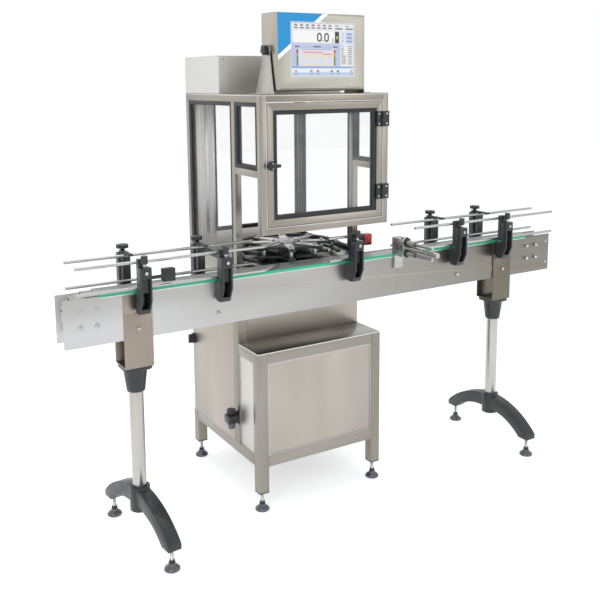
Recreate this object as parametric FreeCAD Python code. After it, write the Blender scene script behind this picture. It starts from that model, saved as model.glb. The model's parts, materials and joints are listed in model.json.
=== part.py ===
import FreeCAD, Part
import math
import os

# Star-wheel checkweigher on a table-top chain conveyor, in millimetres.
# X runs along the conveyor from infeed to outfeed, Y runs from the front plate to the back, Z is up from the floor.
# Every piece is modelled with Y = 0 on the outer face of the front conveyor plate and shifted once, in export_nodes.

VEC = FreeCAD.Vector
X_DIR = VEC(1, 0, 0)
Y_DIR = VEC(0, 1, 0)
Z_DIR = VEC(0, 0, 1)

# Clearances
MOVE_GAP = 0.3
RUN_FIT = 0.05
SIDE_PLAY = 0.5

# Conveyor body
CONVEYOR_LENGTH = 2160.0
CONVEYOR_WIDTH = 90.0
PLATE_TOP = 900.0
PLATE_HEIGHT = 160.0
PLATE_WALL = 3.0
END_BOLT_INSET = 15.0
END_BOLT_RADIUS = 4.5
END_BOLT_DROP = 34.0
END_BOLT_SPACING = 92.0
TIE_ROD_RADIUS = 5.0
TIE_ROD_HEIGHT = 782.0
TIE_ROD_SPOTS = (-542.0, 546.0)

# Chain
CHAIN_PITCH = 38.1
SPROCKET_TEETH = 21
SLAT_THICKNESS = 4.0
SLAT_GAP = 0.7
PIN_DEPTH = 8.0
KNUCKLE_RADIUS = 5.5
KNUCKLE_LENGTH = 40.0
IDLER_SETBACK = 81.5
DRIVE_SETBACK = 105.0
SPROCKET_WIDTH = 30.0
SPROCKET_TOOTH = 6.0
SPROCKET_CLEARANCE = 0.9
CREST_SHARE = 0.27
ROOT_SHARE = 0.42
SHAFT_RADIUS = 12.5
BEARING_SIZE = 78.0
BEARING_DEPTH = 14.0
BEARING_BOLT_SPACING = 54.0
BEARING_CORNER = 10.0

# Wear strips
STRIP_SKIN = 1.5
STRIP_RISE = 6.0
STRIP_SKIRT = 7.0
STRIP_LEDGE = 15.0
STRIP_LEDGE_DEPTH = 5.0

# Fastener heads
BOLT_AF = 13.0
BOLT_HEAD = 7.0
DOME_HEIGHT = 5.0
DOME_EDGE = 0.5
DOME_TIP_SHARE = 0.2
KNOB_NOTCH_CIRCLE = 1.12
KNOB_NOTCH_RADIUS = 0.34
GUIDE_BOLT_AF = 10.0

# Legs
LEG_INSETS = (245.0, 283.0)
LEG_CHANNEL_WIDTH = 100.0
LEG_CHANNEL_WALL = 4.0
LEG_CHANNEL_BOTTOM = 640.0
LEG_CHANNEL_TOP = 830.0
LEG_BOLT_HEIGHT = 776.0
COLLAR_FLANGE = 12.0
COLLAR_HEIGHT = 92.0
COLLAR_TOP_RADIUS = 41.0
COLLAR_LOW_RADIUS = 31.0
COLLAR_CORNER_SHARE = 0.3
PIPE_RADIUS = 24.15
PIPE_WALL = 2.0
PIPE_BOTTOM = 138.0
BIPOD_TURN = 5.7
HUB_RADIUS = 35.0
HUB_BOTTOM = 120.0
HUB_TOP = 204.0
FOOT_SPREAD = 222.0
ARM_WIDTH = 48.0
ARM_END_BOTTOM = 75.0
ARM_END_HEIGHT = 26.0
ARM_ROOT_INSET = 12.0
ARM_ROOT_DROP = 6.0
ARM_ROOT_RISE = 22.0
ARM_CROWN_SHARE = 0.62
ARM_CROWN_DROP = 34.0
ARM_ARCH_SHARE = 0.5
ARM_ARCH_RISE = 8.0
ARM_NOSE_INSET = 6.0
ARM_NOSE_DROP = 8.0

# Feet
FOOT_RADIUS = 27.0
FOOT_HEIGHT = 26.0
FOOT_NECK = 11.0
FOOT_RIM_SHARE = 0.25
FOOT_SHOULDER_RADIUS_SHARE = 0.75
FOOT_SHOULDER_SHARE = 0.5
FOOT_NECK_SHARE = 0.75
SPINDLE_RADIUS = 6.0
FOOT_NUT_AF = 19.0
FOOT_NUT_HEIGHT = 8.0

# Base cabinet
BASE_LEFT = -396.0
BASE_SIDE_ROOM = 59.0
BASE_FRONT = -10.0
BASE_DEPTH = 582.0
BODY_SETBACK = 155.0
BASE_TUBE = 40.0
BASE_WALL = 2.0
POST_BOTTOM = 69.0
RAIL_BOTTOM = 170.0
STEP_TOP = 604.0
DECK_TOP = 904.0
SHEET = 3.0
PANEL_SHEET = 2.0
PANEL_RECESS = 3.0
CAP_HEIGHT = 8.0
TIE_TUBE = 30.0
TIE_TUBE_TOP = 820.0

# Upper guard
GUARD_TUBE = 25.0
GUARD_WALL = 1.5
GUARD_OVERHANG = 50.0
GUARD_BOTTOM = 1045.0
GUARD_TOP = 1529.0
MID_RAIL_BOTTOM = 1245.0
SEAL_FACE = 15.0
SEAL_DEPTH = 21.0
PANE_THICKNESS = 5.0
PANE_BITE = 5.0
UPSTAND_TOP = 963.0
DUCT_WIDTH = 80.0
DUCT_DEPTH = 35.0
DUCT_RIB = 3.0
DUCT_RIB_COUNT = 6
BOX_DEPTH = 305.0
BOX_HEIGHT = 140.0

# Door
DOOR_GAP = 2.0
HINGE_RADIUS = 6.0
HINGE_PIN_RADIUS = 2.5
HINGE_STAND = 6.5
HINGE_AXIS_INSET = 1.0
HINGE_LEAF = 5.0
HINGE_LEAF_WIDTH = 22.0
HINGE_HEIGHT = 56.0
HINGE_LEVELS = (1166.0, 1437.0)
HANDLE_HEIGHT = 1288.0
HANDLE_ROSE_RADIUS = 11.0
HANDLE_ROSE_DEPTH = 8.0
HANDLE_LEVER_LENGTH = 47.0
HANDLE_LEVER_WIDTH = 16.0
HANDLE_LEVER_DEPTH = 12.0
HANDLE_SPINDLE = 8.0
HANDLE_TAIL_SHARE = 0.7
HANDLE_TIP_SHARE = 0.6

# Terminal
CASE_LEFT = -312.0
CASE_WIDTH = 370.0
CASE_FRONT = -20.0
CASE_DEPTH = 105.0
CASE_BOTTOM = 1541.0
CASE_HEIGHT = 271.0
CASE_EDGE = 8.0
CASE_WALL = 2.0
SCREEN_WIDTH = 262.0
SCREEN_HEIGHT = 184.0
SCREEN_LEFT_INSET = 61.0
SCREEN_BOTTOM_INSET = 52.0
SCREEN_RECESS = 4.0
SCREEN_SHEET = 3.0
TILT_AXIS_INSET = 55.0
TILT_AXIS_RISE = 143.0
TILT_STUD_GRIP = 12.0
TILT_BOSS_RADIUS = 14.0
YOKE_GAP = 5.0
YOKE_FOOT = 26.0
YOKE_FRONT = -12.0
YOKE_DEPTH = 132.0
YOKE_HEAD_RADIUS = 18.0
YOKE_HEAD_SHARE = 0.6
TILT_KNOB_RADIUS = 17.0
TILT_KNOB_DEPTH = 16.0
STUD_RADIUS = 4.0

# Guide rails and their brackets
RAIL_RADIUS = 5.5
RAIL_LEVELS = (914.0, 1000.0)
RAIL_OUTSET = 15.0
RAIL_START_INSET = 39.0
FRONT_OUTFEED_START = 309.0
REAR_OUTFEED_START = 284.0
RAIL_END_INSET = 5.0
INFEED_BEND_START = -365.0
INFEED_BEND_RUN = 90.0
INFEED_BEND_REACH = 62.0
BEND_RADIUS = 45.0
REAR_INFEED_END = -352.0
CENTRE_RAIL_START = -95.0
CENTRE_RAIL_LENGTH = 121.0
FRONT_BRACKET_INSETS = (254.0, 310.0)
REAR_BRACKET_INSETS = (250.0, 310.0)
FRONT_BRACKET_SPOTS = (-537.0, 7.0, 518.0)
REAR_BRACKET_SPOTS = (-555.0, 518.0)
BRACKET_WIDTH = 38.0
BRACKET_WEB = 8.0
BRACKET_FLANGE = 6.0
BRACKET_BOTTOM = 832.0
BRACKET_TOP = 988.0
BRACKET_SLOPE = 14.0
BRACKET_REACH = 68.0
BRACKET_STEM = 28.0
BRACKET_HEAD = 36.0
BRACKET_HEEL = 18.0
BRACKET_TOE_NEAR = 15.0
BRACKET_TOE_FAR = 45.0
BRACKET_KNEE = 48.0
BRACKET_POCKET_RISE = 16.0
BRACKET_POCKET_LIP = 4.0
SEAT_GAP = 1.0
BRACKET_BOLT_HEIGHT = 867.0
CROSS_ROD_RADIUS = 6.0
CROSS_ROD_DROP = 17.0
CROSS_ROD_TAIL = 6.0
CLAMP_WIDTH = 28.0
CLAMP_DEPTH = 21.0
CLAMP_BOTTOM = 907.0
CLAMP_TOP = 1012.0
CAP_NUT_RADIUS = 11.0
CAP_NUT_HEIGHT = 26.0
CAP_NUT_STUB = 12.0
CAP_NUT_COLLAR = 1.0
REAR_BAR_WIDTH = 16.0
REAR_BAR_DEPTH = 6.0
REAR_BAR_LENGTH = 100.0
REAR_BAR_BACK_ROOM = 5.0
REAR_SPACER = 18.0
T_KNOB_RADIUS = 21.0
T_KNOB_HEIGHT = 12.0
T_KNOB_STEM = 8.0
T_KNOB_LOBES = 3
T_KNOB_NECK_SHARE = 2

# Star wheel
STAR_X = -150.0
STAR_Y = 205.0
STAR_RADIUS = 165.0
STAR_POCKETS = 8
POCKET_RADIUS = 50.0
STAR_DISC = 10.0
STAR_LOW = 915.0
STAR_DISC_GAP = 25.0
STAR_SHAFT_RADIUS = 15.0
STAR_HUB_RADIUS = 45.0
STAR_SPACER_SHARE = 0.7
STAR_CAP = 6.0
STAR_SHAFT_TAIL = 8.0
STAR_POST_RADIUS = 8.0
STAR_POST_CIRCLE = 138.0
SECTOR_INNER = 55.0
SECTOR_OUTER = 152.0
SECTOR_INNER_WIDTH = 38.0
SECTOR_OUTER_WIDTH = 20.0
SECTOR_SHEET = 3.0
GUIDE_ARC_INNER = 192.0
GUIDE_ARC_WIDTH = 20.0
GUIDE_ARC_SHEET = 10.0
GUIDE_ARC_LEVELS = (915.0, 945.0)
GUIDE_ARC_START = -29.0
GUIDE_ARC_END = 209.0
GUIDE_POSTS = 5
GUIDE_POST_RADIUS = 6.0
HOUSING_RADIUS = 19.5
HOUSING_HEIGHT = 60.0
HOUSING_FLANGE = 12.0
GEARBOX_SIZE = 120.0
MOTOR_RADIUS = 45.0
MOTOR_LENGTH = 170.0

# Conveyor gearmotor
DRIVE_BLOCK = 96.0
DRIVE_MOTOR_RADIUS = 42.0
DRIVE_MOTOR_LENGTH = 110.0
DRIVE_MOTOR_DROP = 2.0

# Weigh cell
WEIGH_SIZE = 90.0
WEIGH_GAP = 3.0
WEIGH_CIRCLE = 160.0
CELL_WIDTH = 30.0
CELL_HEIGHT = 20.0
CELL_STEM = 16.0

# Reject pusher
PUSHER_X = 235.0
PUSHER_WIDTH = 40.0
PUSHER_BACK = -5.0
PUSHER_BLOCK = 55.0
PUSHER_LOW = 902.0
PUSHER_HIGH = 972.0
PUSHER_ROD_RADIUS = 6.0
PUSHER_RODS = (916.0, 958.0)
PUSHER_TUBE_RADIUS = 10.5
PUSHER_TUBE_END = -113.0
PUSHER_ROD_END = -212.0
BARREL_RADIUS = 9.5
BARREL_END = -243.0
PISTON_RADIUS = 4.0
PUSHER_PAD = 12.0
PUSHER_PAD_RISE = 1.0
PUSHER_BRACKET_BOTTOM = 850.0

# Sensors, regulator and switch
SENSOR_CUBE = 42.0
SENSOR_CUBE_DEPTH = 25.0
SENSOR_CUBE_Y = -32.0
SENSOR_CUBE_Z = 951.0
SENSOR_CUBE_SHARE = 0.2466
SENSOR_ROD_RADIUS = 6.0
RED_SENSOR_LEFT = 130.0
RED_SENSOR_Y = 99.0
RED_SENSOR_SIZE = (54.0, 30.0, 44.0)
RED_SENSOR_BOTTOM = 930.0
SENSOR_STALK_WIDTH = 18.0
SENSOR_STALK_DROP = 20.0
REGULATOR_Y = 165.0
REGULATOR_BOTTOM = 272.0
REGULATOR_SIZE = 40.0
REGULATOR_PLATE = 5.0
REGULATOR_PLATE_DROP = 6.0
REGULATOR_BOWL = 24.0
REGULATOR_BODY = 30.0
REGULATOR_BOWL_LOW_SHARE = 0.3
REGULATOR_BOWL_TOP_SHARE = 0.44
REGULATOR_KNOB_SHARE = 0.42
REGULATOR_KNOB_HEIGHT = 22.0
REGULATOR_KNOB_LOBES = 8
SWITCH_Y = 552.0
SWITCH_Z = 521.0
SWITCH_RADIUS = 22.0
SWITCH_DEPTH = 7.0
SWITCH_DISC_SHARE = 0.86
SWITCH_GRIP_SHARE = 0.8
SWITCH_GRIP_WIDTH = 10.0
SWITCH_GRIP_REACH = 18.0

# Values that follow from the driving dimensions
HALF_LENGTH = CONVEYOR_LENGTH / 2
LANE_Y = CONVEYOR_WIDTH / 2
PLATE_BOTTOM = PLATE_TOP - PLATE_HEIGHT
SLAT_TOP = PLATE_TOP + SLAT_THICKNESS
SLAT_WIDTH = CONVEYOR_WIDTH - 2 * (PLATE_WALL + STRIP_SKIN + SIDE_PLAY)
PITCH_RADIUS = CHAIN_PITCH / (2 * math.sin(2 * math.pi / SPROCKET_TEETH))
TIP_RADIUS = PITCH_RADIUS - KNUCKLE_RADIUS - SPROCKET_CLEARANCE
PIN_HEIGHT = SLAT_TOP - PIN_DEPTH
SHAFT_HEIGHT = PIN_HEIGHT - PITCH_RADIUS
IDLER_X = -HALF_LENGTH + IDLER_SETBACK
WANTED_SPAN = CONVEYOR_LENGTH - IDLER_SETBACK - DRIVE_SETBACK
LINK_COUNT = int((2 * WANTED_SPAN + 2 * math.pi * PITCH_RADIUS) / CHAIN_PITCH)
CHAIN_SPAN = (LINK_COUNT * CHAIN_PITCH - 2 * math.pi * PITCH_RADIUS) / 2
DRIVE_X = IDLER_X + CHAIN_SPAN
STRIP_TOP = PLATE_TOP + STRIP_RISE
LEG_SPOTS = (-HALF_LENGTH + LEG_INSETS[0], HALF_LENGTH - LEG_INSETS[1])
FRONT_INFEED_START = -HALF_LENGTH + RAIL_START_INSET
OUTFEED_END = HALF_LENGTH - RAIL_END_INSET
FRONT_BRACKETS = (-HALF_LENGTH + FRONT_BRACKET_INSETS[0],) + FRONT_BRACKET_SPOTS + (
    HALF_LENGTH - FRONT_BRACKET_INSETS[1],)
REAR_BRACKETS = (-HALF_LENGTH + REAR_BRACKET_INSETS[0],) + REAR_BRACKET_SPOTS + (
    HALF_LENGTH - REAR_BRACKET_INSETS[1],)
SENSOR_ROOM = FRONT_BRACKETS[1] - FRONT_BRACKETS[0] - CLAMP_WIDTH - SENSOR_CUBE
SENSOR_CUBE_LEFT = FRONT_BRACKETS[0] + CLAMP_WIDTH / 2 + SENSOR_CUBE_SHARE * SENSOR_ROOM

BASE_WIDTH = 2 * (GUIDE_ARC_INNER + GUIDE_ARC_WIDTH + BASE_SIDE_ROOM)
BASE_RIGHT = BASE_LEFT + BASE_WIDTH
BASE_BACK = BASE_FRONT + BASE_DEPTH
BODY_FRONT = BASE_FRONT + BODY_SETBACK
DECK_BOTTOM = DECK_TOP - SHEET
DECK_FRONT = CONVEYOR_WIDTH + STRIP_SKIN + SIDE_PLAY
RAIL_TOP = RAIL_BOTTOM + BASE_TUBE
BASE_CENTRE_X = BASE_LEFT + BASE_WIDTH / 2

GUARD_FRONT = -GUARD_OVERHANG
GUARD_FRAME_BACK = GUARD_FRONT + GUARD_TUBE
ROOF_TOP = GUARD_TOP + SHEET
TOP_RAIL_BOTTOM = GUARD_TOP - GUARD_TUBE
REAR_POST_FRONT = BASE_BACK - GUARD_TUBE
MID_POST_BACK = BODY_FRONT + GUARD_TUBE

DOOR_LEFT = BASE_LEFT + GUARD_TUBE + DOOR_GAP
DOOR_RIGHT = BASE_RIGHT - GUARD_TUBE - DOOR_GAP
DOOR_BOTTOM = GUARD_BOTTOM + GUARD_TUBE + DOOR_GAP
DOOR_TOP = TOP_RAIL_BOTTOM - DOOR_GAP
HINGE_X = DOOR_RIGHT + HINGE_AXIS_INSET
HINGE_Y = GUARD_FRONT - HINGE_STAND
HANDLE_X = DOOR_LEFT + GUARD_TUBE / 2
HANDLE_PAD_FRONT = GUARD_FRONT - MOVE_GAP - HANDLE_ROSE_DEPTH

CASE_RIGHT = CASE_LEFT + CASE_WIDTH
CASE_BACK = CASE_FRONT + CASE_DEPTH
CASE_TOP = CASE_BOTTOM + CASE_HEIGHT
TILT_AXIS_HEIGHT = CASE_BOTTOM + TILT_AXIS_RISE
TILT_Y = CASE_FRONT + TILT_AXIS_INSET

BRACKET_SEAT_TOP = PLATE_TOP - STRIP_SKIRT - SEAT_GAP
CLAMP_INNER = -RAIL_OUTSET
CLAMP_OUTER = CLAMP_INNER - CLAMP_DEPTH
BRACKET_INNER = -(BRACKET_REACH - BRACKET_STEM)
CROSS_ROD_Z = BRACKET_TOP - CROSS_ROD_DROP
REAR_BRACKET_TOP = BRACKET_TOP + REAR_SPACER
REAR_BAR_BOTTOM = REAR_BRACKET_TOP + MOVE_GAP
T_KNOB_Y = CONVEYOR_WIDTH + BRACKET_REACH - BRACKET_STEM / 2
T_KNOB_BOTTOM = REAR_BAR_BOTTOM + REAR_BAR_DEPTH + MOVE_GAP

STAR_TOP = STAR_LOW + 2 * STAR_DISC + STAR_DISC_GAP
STAR_HUB_LOW = DECK_TOP + MOVE_GAP
HOUSING_BOTTOM = DECK_BOTTOM - HOUSING_HEIGHT
WEIGH_Y = STAR_Y + WEIGH_CIRCLE

DRIVE_BLOCK_TOP = SHAFT_HEIGHT + DRIVE_BLOCK / 2
DRIVE_MOTOR_Z = BRACKET_BOTTOM - DRIVE_MOTOR_RADIUS - DRIVE_MOTOR_DROP

FRONT_REACH = BARREL_END
Y_CENTRE = (FRONT_REACH + BASE_BACK) / 2


def block(x0, x1, y0, y1, z0, z1):
    """Box between two corners."""
    return Part.makeBox(x1 - x0, y1 - y0, z1 - z0, VEC(x0, y0, z0))


def bar(x, y, z, direction, radius, length):
    """Round bar that starts at a point and runs along a direction."""
    return Part.makeCylinder(radius, length, VEC(x, y, z), direction)


def sleeve(x, y, z, direction, outer, inner, length):
    """Round tube with an open bore."""
    return bar(x, y, z, direction, outer, length).cut(bar(x, y, z, direction, inner, length))


def square_tube(x0, x1, y0, y1, z0, z1, axis, wall):
    """Rectangular hollow section along one axis, open at both ends."""
    shrink = [wall, wall, wall]
    shrink["xyz".index(axis)] = 0
    hollow = block(x0 + shrink[0], x1 - shrink[0], y0 + shrink[1], y1 - shrink[1], z0 + shrink[2], z1 - shrink[2])
    return block(x0, x1, y0, y1, z0, z1).cut(hollow)


def polygon(points):
    """Flat face inside a closed outline."""
    return Part.Face(Part.makePolygon(points + [points[0]]))


def prism_x(outline, x0, x1):
    """Outline given as (Y, Z) points, pushed from x0 to x1."""
    return polygon([VEC(x0, y, z) for y, z in outline]).extrude(VEC(x1 - x0, 0, 0))


def prism_z(outline, z0, z1):
    """Outline given as (X, Y) points, pushed from z0 to z1."""
    return polygon([VEC(x, y, z0) for x, y in outline]).extrude(VEC(0, 0, z1 - z0))


def revolved(profile, x, y):
    """Full turn of a (radius, Z) profile about a vertical axis."""
    face = polygon([VEC(r, 0, z) for r, z in profile])
    face = face.revolve(VEC(0, 0, 0), Z_DIR, 360)
    face.translate(VEC(x, y, 0))
    return face


def hexagon(x, y, z, direction, across_flats, height):
    """Six-sided prism for nuts and bolt heads."""
    corner = across_flats / math.sqrt(3)
    points = [VEC(corner * math.cos(k * math.pi / 3), corner * math.sin(k * math.pi / 3), 0) for k in range(6)]
    solid = polygon(points).extrude(VEC(0, 0, height))
    solid.Placement = FreeCAD.Placement(VEC(x, y, z), FreeCAD.Rotation(Z_DIR, direction))
    return solid


def domed_nut(x, y, z, direction):
    """Cap nut with a hexagon and a tapered dome."""
    nut = hexagon(x, y, z, direction, BOLT_AF, BOLT_HEAD)
    foot = VEC(x, y, z) + direction * BOLT_HEAD
    dome = Part.makeCone(BOLT_AF / 2 - DOME_EDGE, BOLT_AF * DOME_TIP_SHARE, DOME_HEIGHT, foot, direction)
    return nut.fuse(dome)


def lobed_knob(x, y, z, direction, radius, depth, lobes=5):
    """Hand knob with scalloped rim."""
    knob = Part.makeCylinder(radius, depth)
    notch_circle = radius * KNOB_NOTCH_CIRCLE
    notch_radius = radius * KNOB_NOTCH_RADIUS
    for k in range(lobes):
        angle = 2 * math.pi * k / lobes
        centre = VEC(notch_circle * math.cos(angle), notch_circle * math.sin(angle), 0)
        knob = knob.cut(Part.makeCylinder(notch_radius, depth, centre))
    knob.Placement = FreeCAD.Placement(VEC(x, y, z), FreeCAD.Rotation(Z_DIR, direction))
    return knob


def side_plates():
    """Two flat side plates with the joining holes and the drive shaft's hole."""
    plates = []
    for y in (0, CONVEYOR_WIDTH - PLATE_WALL):
        plate = block(-HALF_LENGTH, HALF_LENGTH, y, y + PLATE_WALL, PLATE_BOTTOM, PLATE_TOP)
        for z in end_bolt_heights():
            plate = plate.cut(bar(HALF_LENGTH - END_BOLT_INSET, y, z, Y_DIR, END_BOLT_RADIUS, PLATE_WALL))
        if y > 0:
            plate = plate.cut(bar(DRIVE_X, y, SHAFT_HEIGHT, Y_DIR, SHAFT_RADIUS + MOVE_GAP, PLATE_WALL))
        plates.append(plate)
    return plates


def end_bolt_heights():
    """Heights of the two joining holes at the outfeed end."""
    upper = PLATE_TOP - END_BOLT_DROP
    return upper, upper - END_BOLT_SPACING


def wear_strips():
    """Green caps on the plate tops with the slat ledges, and the return guides below."""
    x0 = IDLER_X + CHAIN_PITCH
    x1 = DRIVE_X - CHAIN_PITCH
    inside = PLATE_WALL + STRIP_SKIN
    return_top = SHAFT_HEIGHT - PITCH_RADIUS - PIN_DEPTH
    cap = [
        (0, PLATE_TOP), (0, PLATE_TOP - STRIP_SKIRT), (-STRIP_SKIN, PLATE_TOP - STRIP_SKIRT),
        (-STRIP_SKIN, STRIP_TOP), (inside, STRIP_TOP), (inside, PLATE_TOP),
        (inside + STRIP_LEDGE, PLATE_TOP), (inside + STRIP_LEDGE, PLATE_TOP - STRIP_LEDGE_DEPTH),
        (PLATE_WALL, PLATE_TOP - STRIP_LEDGE_DEPTH), (PLATE_WALL, PLATE_TOP),
    ]
    front = prism_x(cap, x0, x1)
    rear = prism_x([(CONVEYOR_WIDTH - y, z) for y, z in cap], x0, x1)
    guides = [
        block(x0, x1, PLATE_WALL, inside + STRIP_LEDGE, return_top - STRIP_LEDGE_DEPTH, return_top),
        block(x0, x1, CONVEYOR_WIDTH - inside - STRIP_LEDGE, CONVEYOR_WIDTH - PLATE_WALL,
              return_top - STRIP_LEDGE_DEPTH, return_top),
    ]
    return [front, rear] + guides


def chain_slat():
    """One moulded slat with its hinge eye, pin on the origin, next pin along +X, running face up."""
    back = -KNUCKLE_RADIUS
    front = CHAIN_PITCH - SLAT_GAP - KNUCKLE_RADIUS
    under = PIN_DEPTH - SLAT_THICKNESS
    plate = block(back, front, -SLAT_WIDTH / 2, SLAT_WIDTH / 2, under, PIN_DEPTH)
    eye = [
        (-KNUCKLE_RADIUS, under), (-KNUCKLE_RADIUS, -KNUCKLE_RADIUS / 3), (-KNUCKLE_RADIUS / 2, -KNUCKLE_RADIUS),
        (KNUCKLE_RADIUS / 2, -KNUCKLE_RADIUS), (KNUCKLE_RADIUS, -KNUCKLE_RADIUS / 3), (KNUCKLE_RADIUS, under),
    ]
    face = polygon([VEC(x, -KNUCKLE_LENGTH / 2, z) for x, z in eye])
    return plate.fuse(face.extrude(VEC(0, KNUCKLE_LENGTH, 0)))


def chain_point(s):
    """Point of the pin line at a distance along the closed path that starts over the idler."""
    arc = math.pi * PITCH_RADIUS
    s = s % (LINK_COUNT * CHAIN_PITCH)
    if s < CHAIN_SPAN:
        return VEC(IDLER_X + s, LANE_Y, PIN_HEIGHT)
    if s < CHAIN_SPAN + arc:
        turn = (s - CHAIN_SPAN) / PITCH_RADIUS
        return VEC(DRIVE_X + PITCH_RADIUS * math.sin(turn), LANE_Y, SHAFT_HEIGHT + PITCH_RADIUS * math.cos(turn))
    if s < 2 * CHAIN_SPAN + arc:
        return VEC(DRIVE_X - (s - CHAIN_SPAN - arc), LANE_Y, SHAFT_HEIGHT - PITCH_RADIUS)
    turn = math.pi + (s - 2 * CHAIN_SPAN - arc) / PITCH_RADIUS
    return VEC(IDLER_X + PITCH_RADIUS * math.sin(turn), LANE_Y, SHAFT_HEIGHT + PITCH_RADIUS * math.cos(turn))


def chain_slats():
    """The closed chain, each slat laid from its own pin towards the next."""
    link = chain_slat()
    slats = []
    for k in range(LINK_COUNT):
        pin = chain_point(k * CHAIN_PITCH)
        ahead = chain_point((k + 1) * CHAIN_PITCH) - pin
        slat = link.copy()
        slat.Placement = FreeCAD.Placement(pin, FreeCAD.Rotation(Y_DIR, math.degrees(math.atan2(-ahead.z, ahead.x))))
        slats.append(slat)
    return slats


def crest_angle(wrap_start, wrap_angle):
    """Angle of the pin nearest the middle of an end's wrap, so that a tooth stands under it."""
    middle = wrap_start + math.pi * PITCH_RADIUS / 2
    nearest = round(middle / CHAIN_PITCH) * CHAIN_PITCH
    return wrap_angle + (nearest - wrap_start) / PITCH_RADIUS


def sprocket(x, shaft_end, crest):
    """Toothed wheel fused to its shaft, running in the side bearings."""
    points = []
    root_radius = TIP_RADIUS - SPROCKET_TOOTH
    shape = ((-ROOT_SHARE, root_radius), (-CREST_SHARE, TIP_RADIUS), (0, TIP_RADIUS), (CREST_SHARE, TIP_RADIUS),
             (ROOT_SHARE, root_radius))
    for k in range(SPROCKET_TEETH):
        for share, radius in shape:
            angle = crest + 2 * math.pi * (k + share) / SPROCKET_TEETH
            points.append(VEC(x + radius * math.sin(angle), LANE_Y - SPROCKET_WIDTH / 2,
                              SHAFT_HEIGHT + radius * math.cos(angle)))
    wheel = polygon(points).extrude(VEC(0, SPROCKET_WIDTH, 0))
    start = PLATE_WALL + MOVE_GAP
    return [wheel.fuse(bar(x, start, SHAFT_HEIGHT, Y_DIR, SHAFT_RADIUS, shaft_end - start))]


def end_bearings():
    """Square flange bearings bolted inside the plates at both shafts."""
    half = BEARING_SIZE / 2
    cut = BEARING_CORNER
    bearings = []
    for x in (IDLER_X, DRIVE_X):
        for y in (PLATE_WALL, CONVEYOR_WIDTH - PLATE_WALL - BEARING_DEPTH):
            body = block(x - half, x + half, y, y + BEARING_DEPTH, SHAFT_HEIGHT - half, SHAFT_HEIGHT + half)
            for dx in (-1, 1):
                for dz in (-1, 1):
                    corner = block(x + dx * half - cut, x + dx * half + cut, y, y + BEARING_DEPTH,
                                   SHAFT_HEIGHT + dz * half - cut, SHAFT_HEIGHT + dz * half + cut)
                    body = body.cut(corner)
            bearings.append(body.cut(bar(x, y, SHAFT_HEIGHT, Y_DIR, SHAFT_RADIUS + RUN_FIT, BEARING_DEPTH)))
    return bearings


def conveyor_fasteners():
    """Tie rods between the plates and the cap nuts on their outer faces."""
    rods = [bar(x, PLATE_WALL, TIE_ROD_HEIGHT, Y_DIR, TIE_ROD_RADIUS, CONVEYOR_WIDTH - 2 * PLATE_WALL)
            for x in TIE_ROD_SPOTS]
    half = BEARING_BOLT_SPACING / 2
    spots = [(x, TIE_ROD_HEIGHT, 0) for x in TIE_ROD_SPOTS]
    spots += [(x, LEG_BOLT_HEIGHT, LEG_CHANNEL_WALL) for x in LEG_SPOTS]
    for x in (IDLER_X, DRIVE_X):
        spots += [(x + dx, SHAFT_HEIGHT + dz, 0) for dx in (-half, half) for dz in (-half, half)]
    nuts = [domed_nut(x, -stand, z, -Y_DIR) for x, z, stand in spots]
    for x, z, stand in spots:
        if x < DRIVE_X - DRIVE_BLOCK or x > DRIVE_X + DRIVE_BLOCK:
            nuts.append(domed_nut(x, CONVEYOR_WIDTH + stand, z, Y_DIR))
    bolts = []
    for x, y0, side in bracket_seats():
        seat = y0 + side * BRACKET_WEB
        bolts.append(hexagon(x, seat, BRACKET_BOLT_HEIGHT, Y_DIR * side, GUIDE_BOLT_AF, BOLT_HEAD))
    return rods + nuts + bolts


def drive_motors():
    """Gearmotor behind the outfeed end, and the star wheel's bearing housing and gearmotor under the deck."""
    half = DRIVE_BLOCK / 2
    back = CONVEYOR_WIDTH
    low = DRIVE_MOTOR_Z - DRIVE_MOTOR_RADIUS
    gearbox = block(DRIVE_X - half, DRIVE_X + half, back, back + DRIVE_BLOCK, low, DRIVE_BLOCK_TOP)
    gearbox = gearbox.cut(bar(DRIVE_X, back, SHAFT_HEIGHT, Y_DIR, SHAFT_RADIUS + RUN_FIT, DRIVE_BLOCK))
    motor = bar(DRIVE_X - half, back + half, DRIVE_MOTOR_Z, -X_DIR, DRIVE_MOTOR_RADIUS, DRIVE_MOTOR_LENGTH)
    flange_front = BODY_FRONT + BASE_TUBE
    box_half = GEARBOX_SIZE / 2
    housing = bar(STAR_X, STAR_Y, HOUSING_BOTTOM, Z_DIR, HOUSING_RADIUS, HOUSING_HEIGHT)
    housing = housing.fuse(block(STAR_X - box_half, STAR_X + box_half, flange_front, flange_front + GEARBOX_SIZE,
                                 DECK_BOTTOM - HOUSING_FLANGE, DECK_BOTTOM))
    housing = housing.cut(bar(STAR_X, STAR_Y, HOUSING_BOTTOM, Z_DIR, STAR_SHAFT_RADIUS + RUN_FIT, HOUSING_HEIGHT))
    box_low = HOUSING_BOTTOM - GEARBOX_SIZE
    star_box = block(STAR_X - box_half, STAR_X + box_half, flange_front, flange_front + GEARBOX_SIZE,
                     box_low, HOUSING_BOTTOM)
    star_motor = bar(STAR_X + box_half, flange_front + box_half, HOUSING_BOTTOM - box_half, X_DIR, MOTOR_RADIUS,
                     MOTOR_LENGTH)
    return [gearbox, motor, housing, star_box, star_motor]


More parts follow.
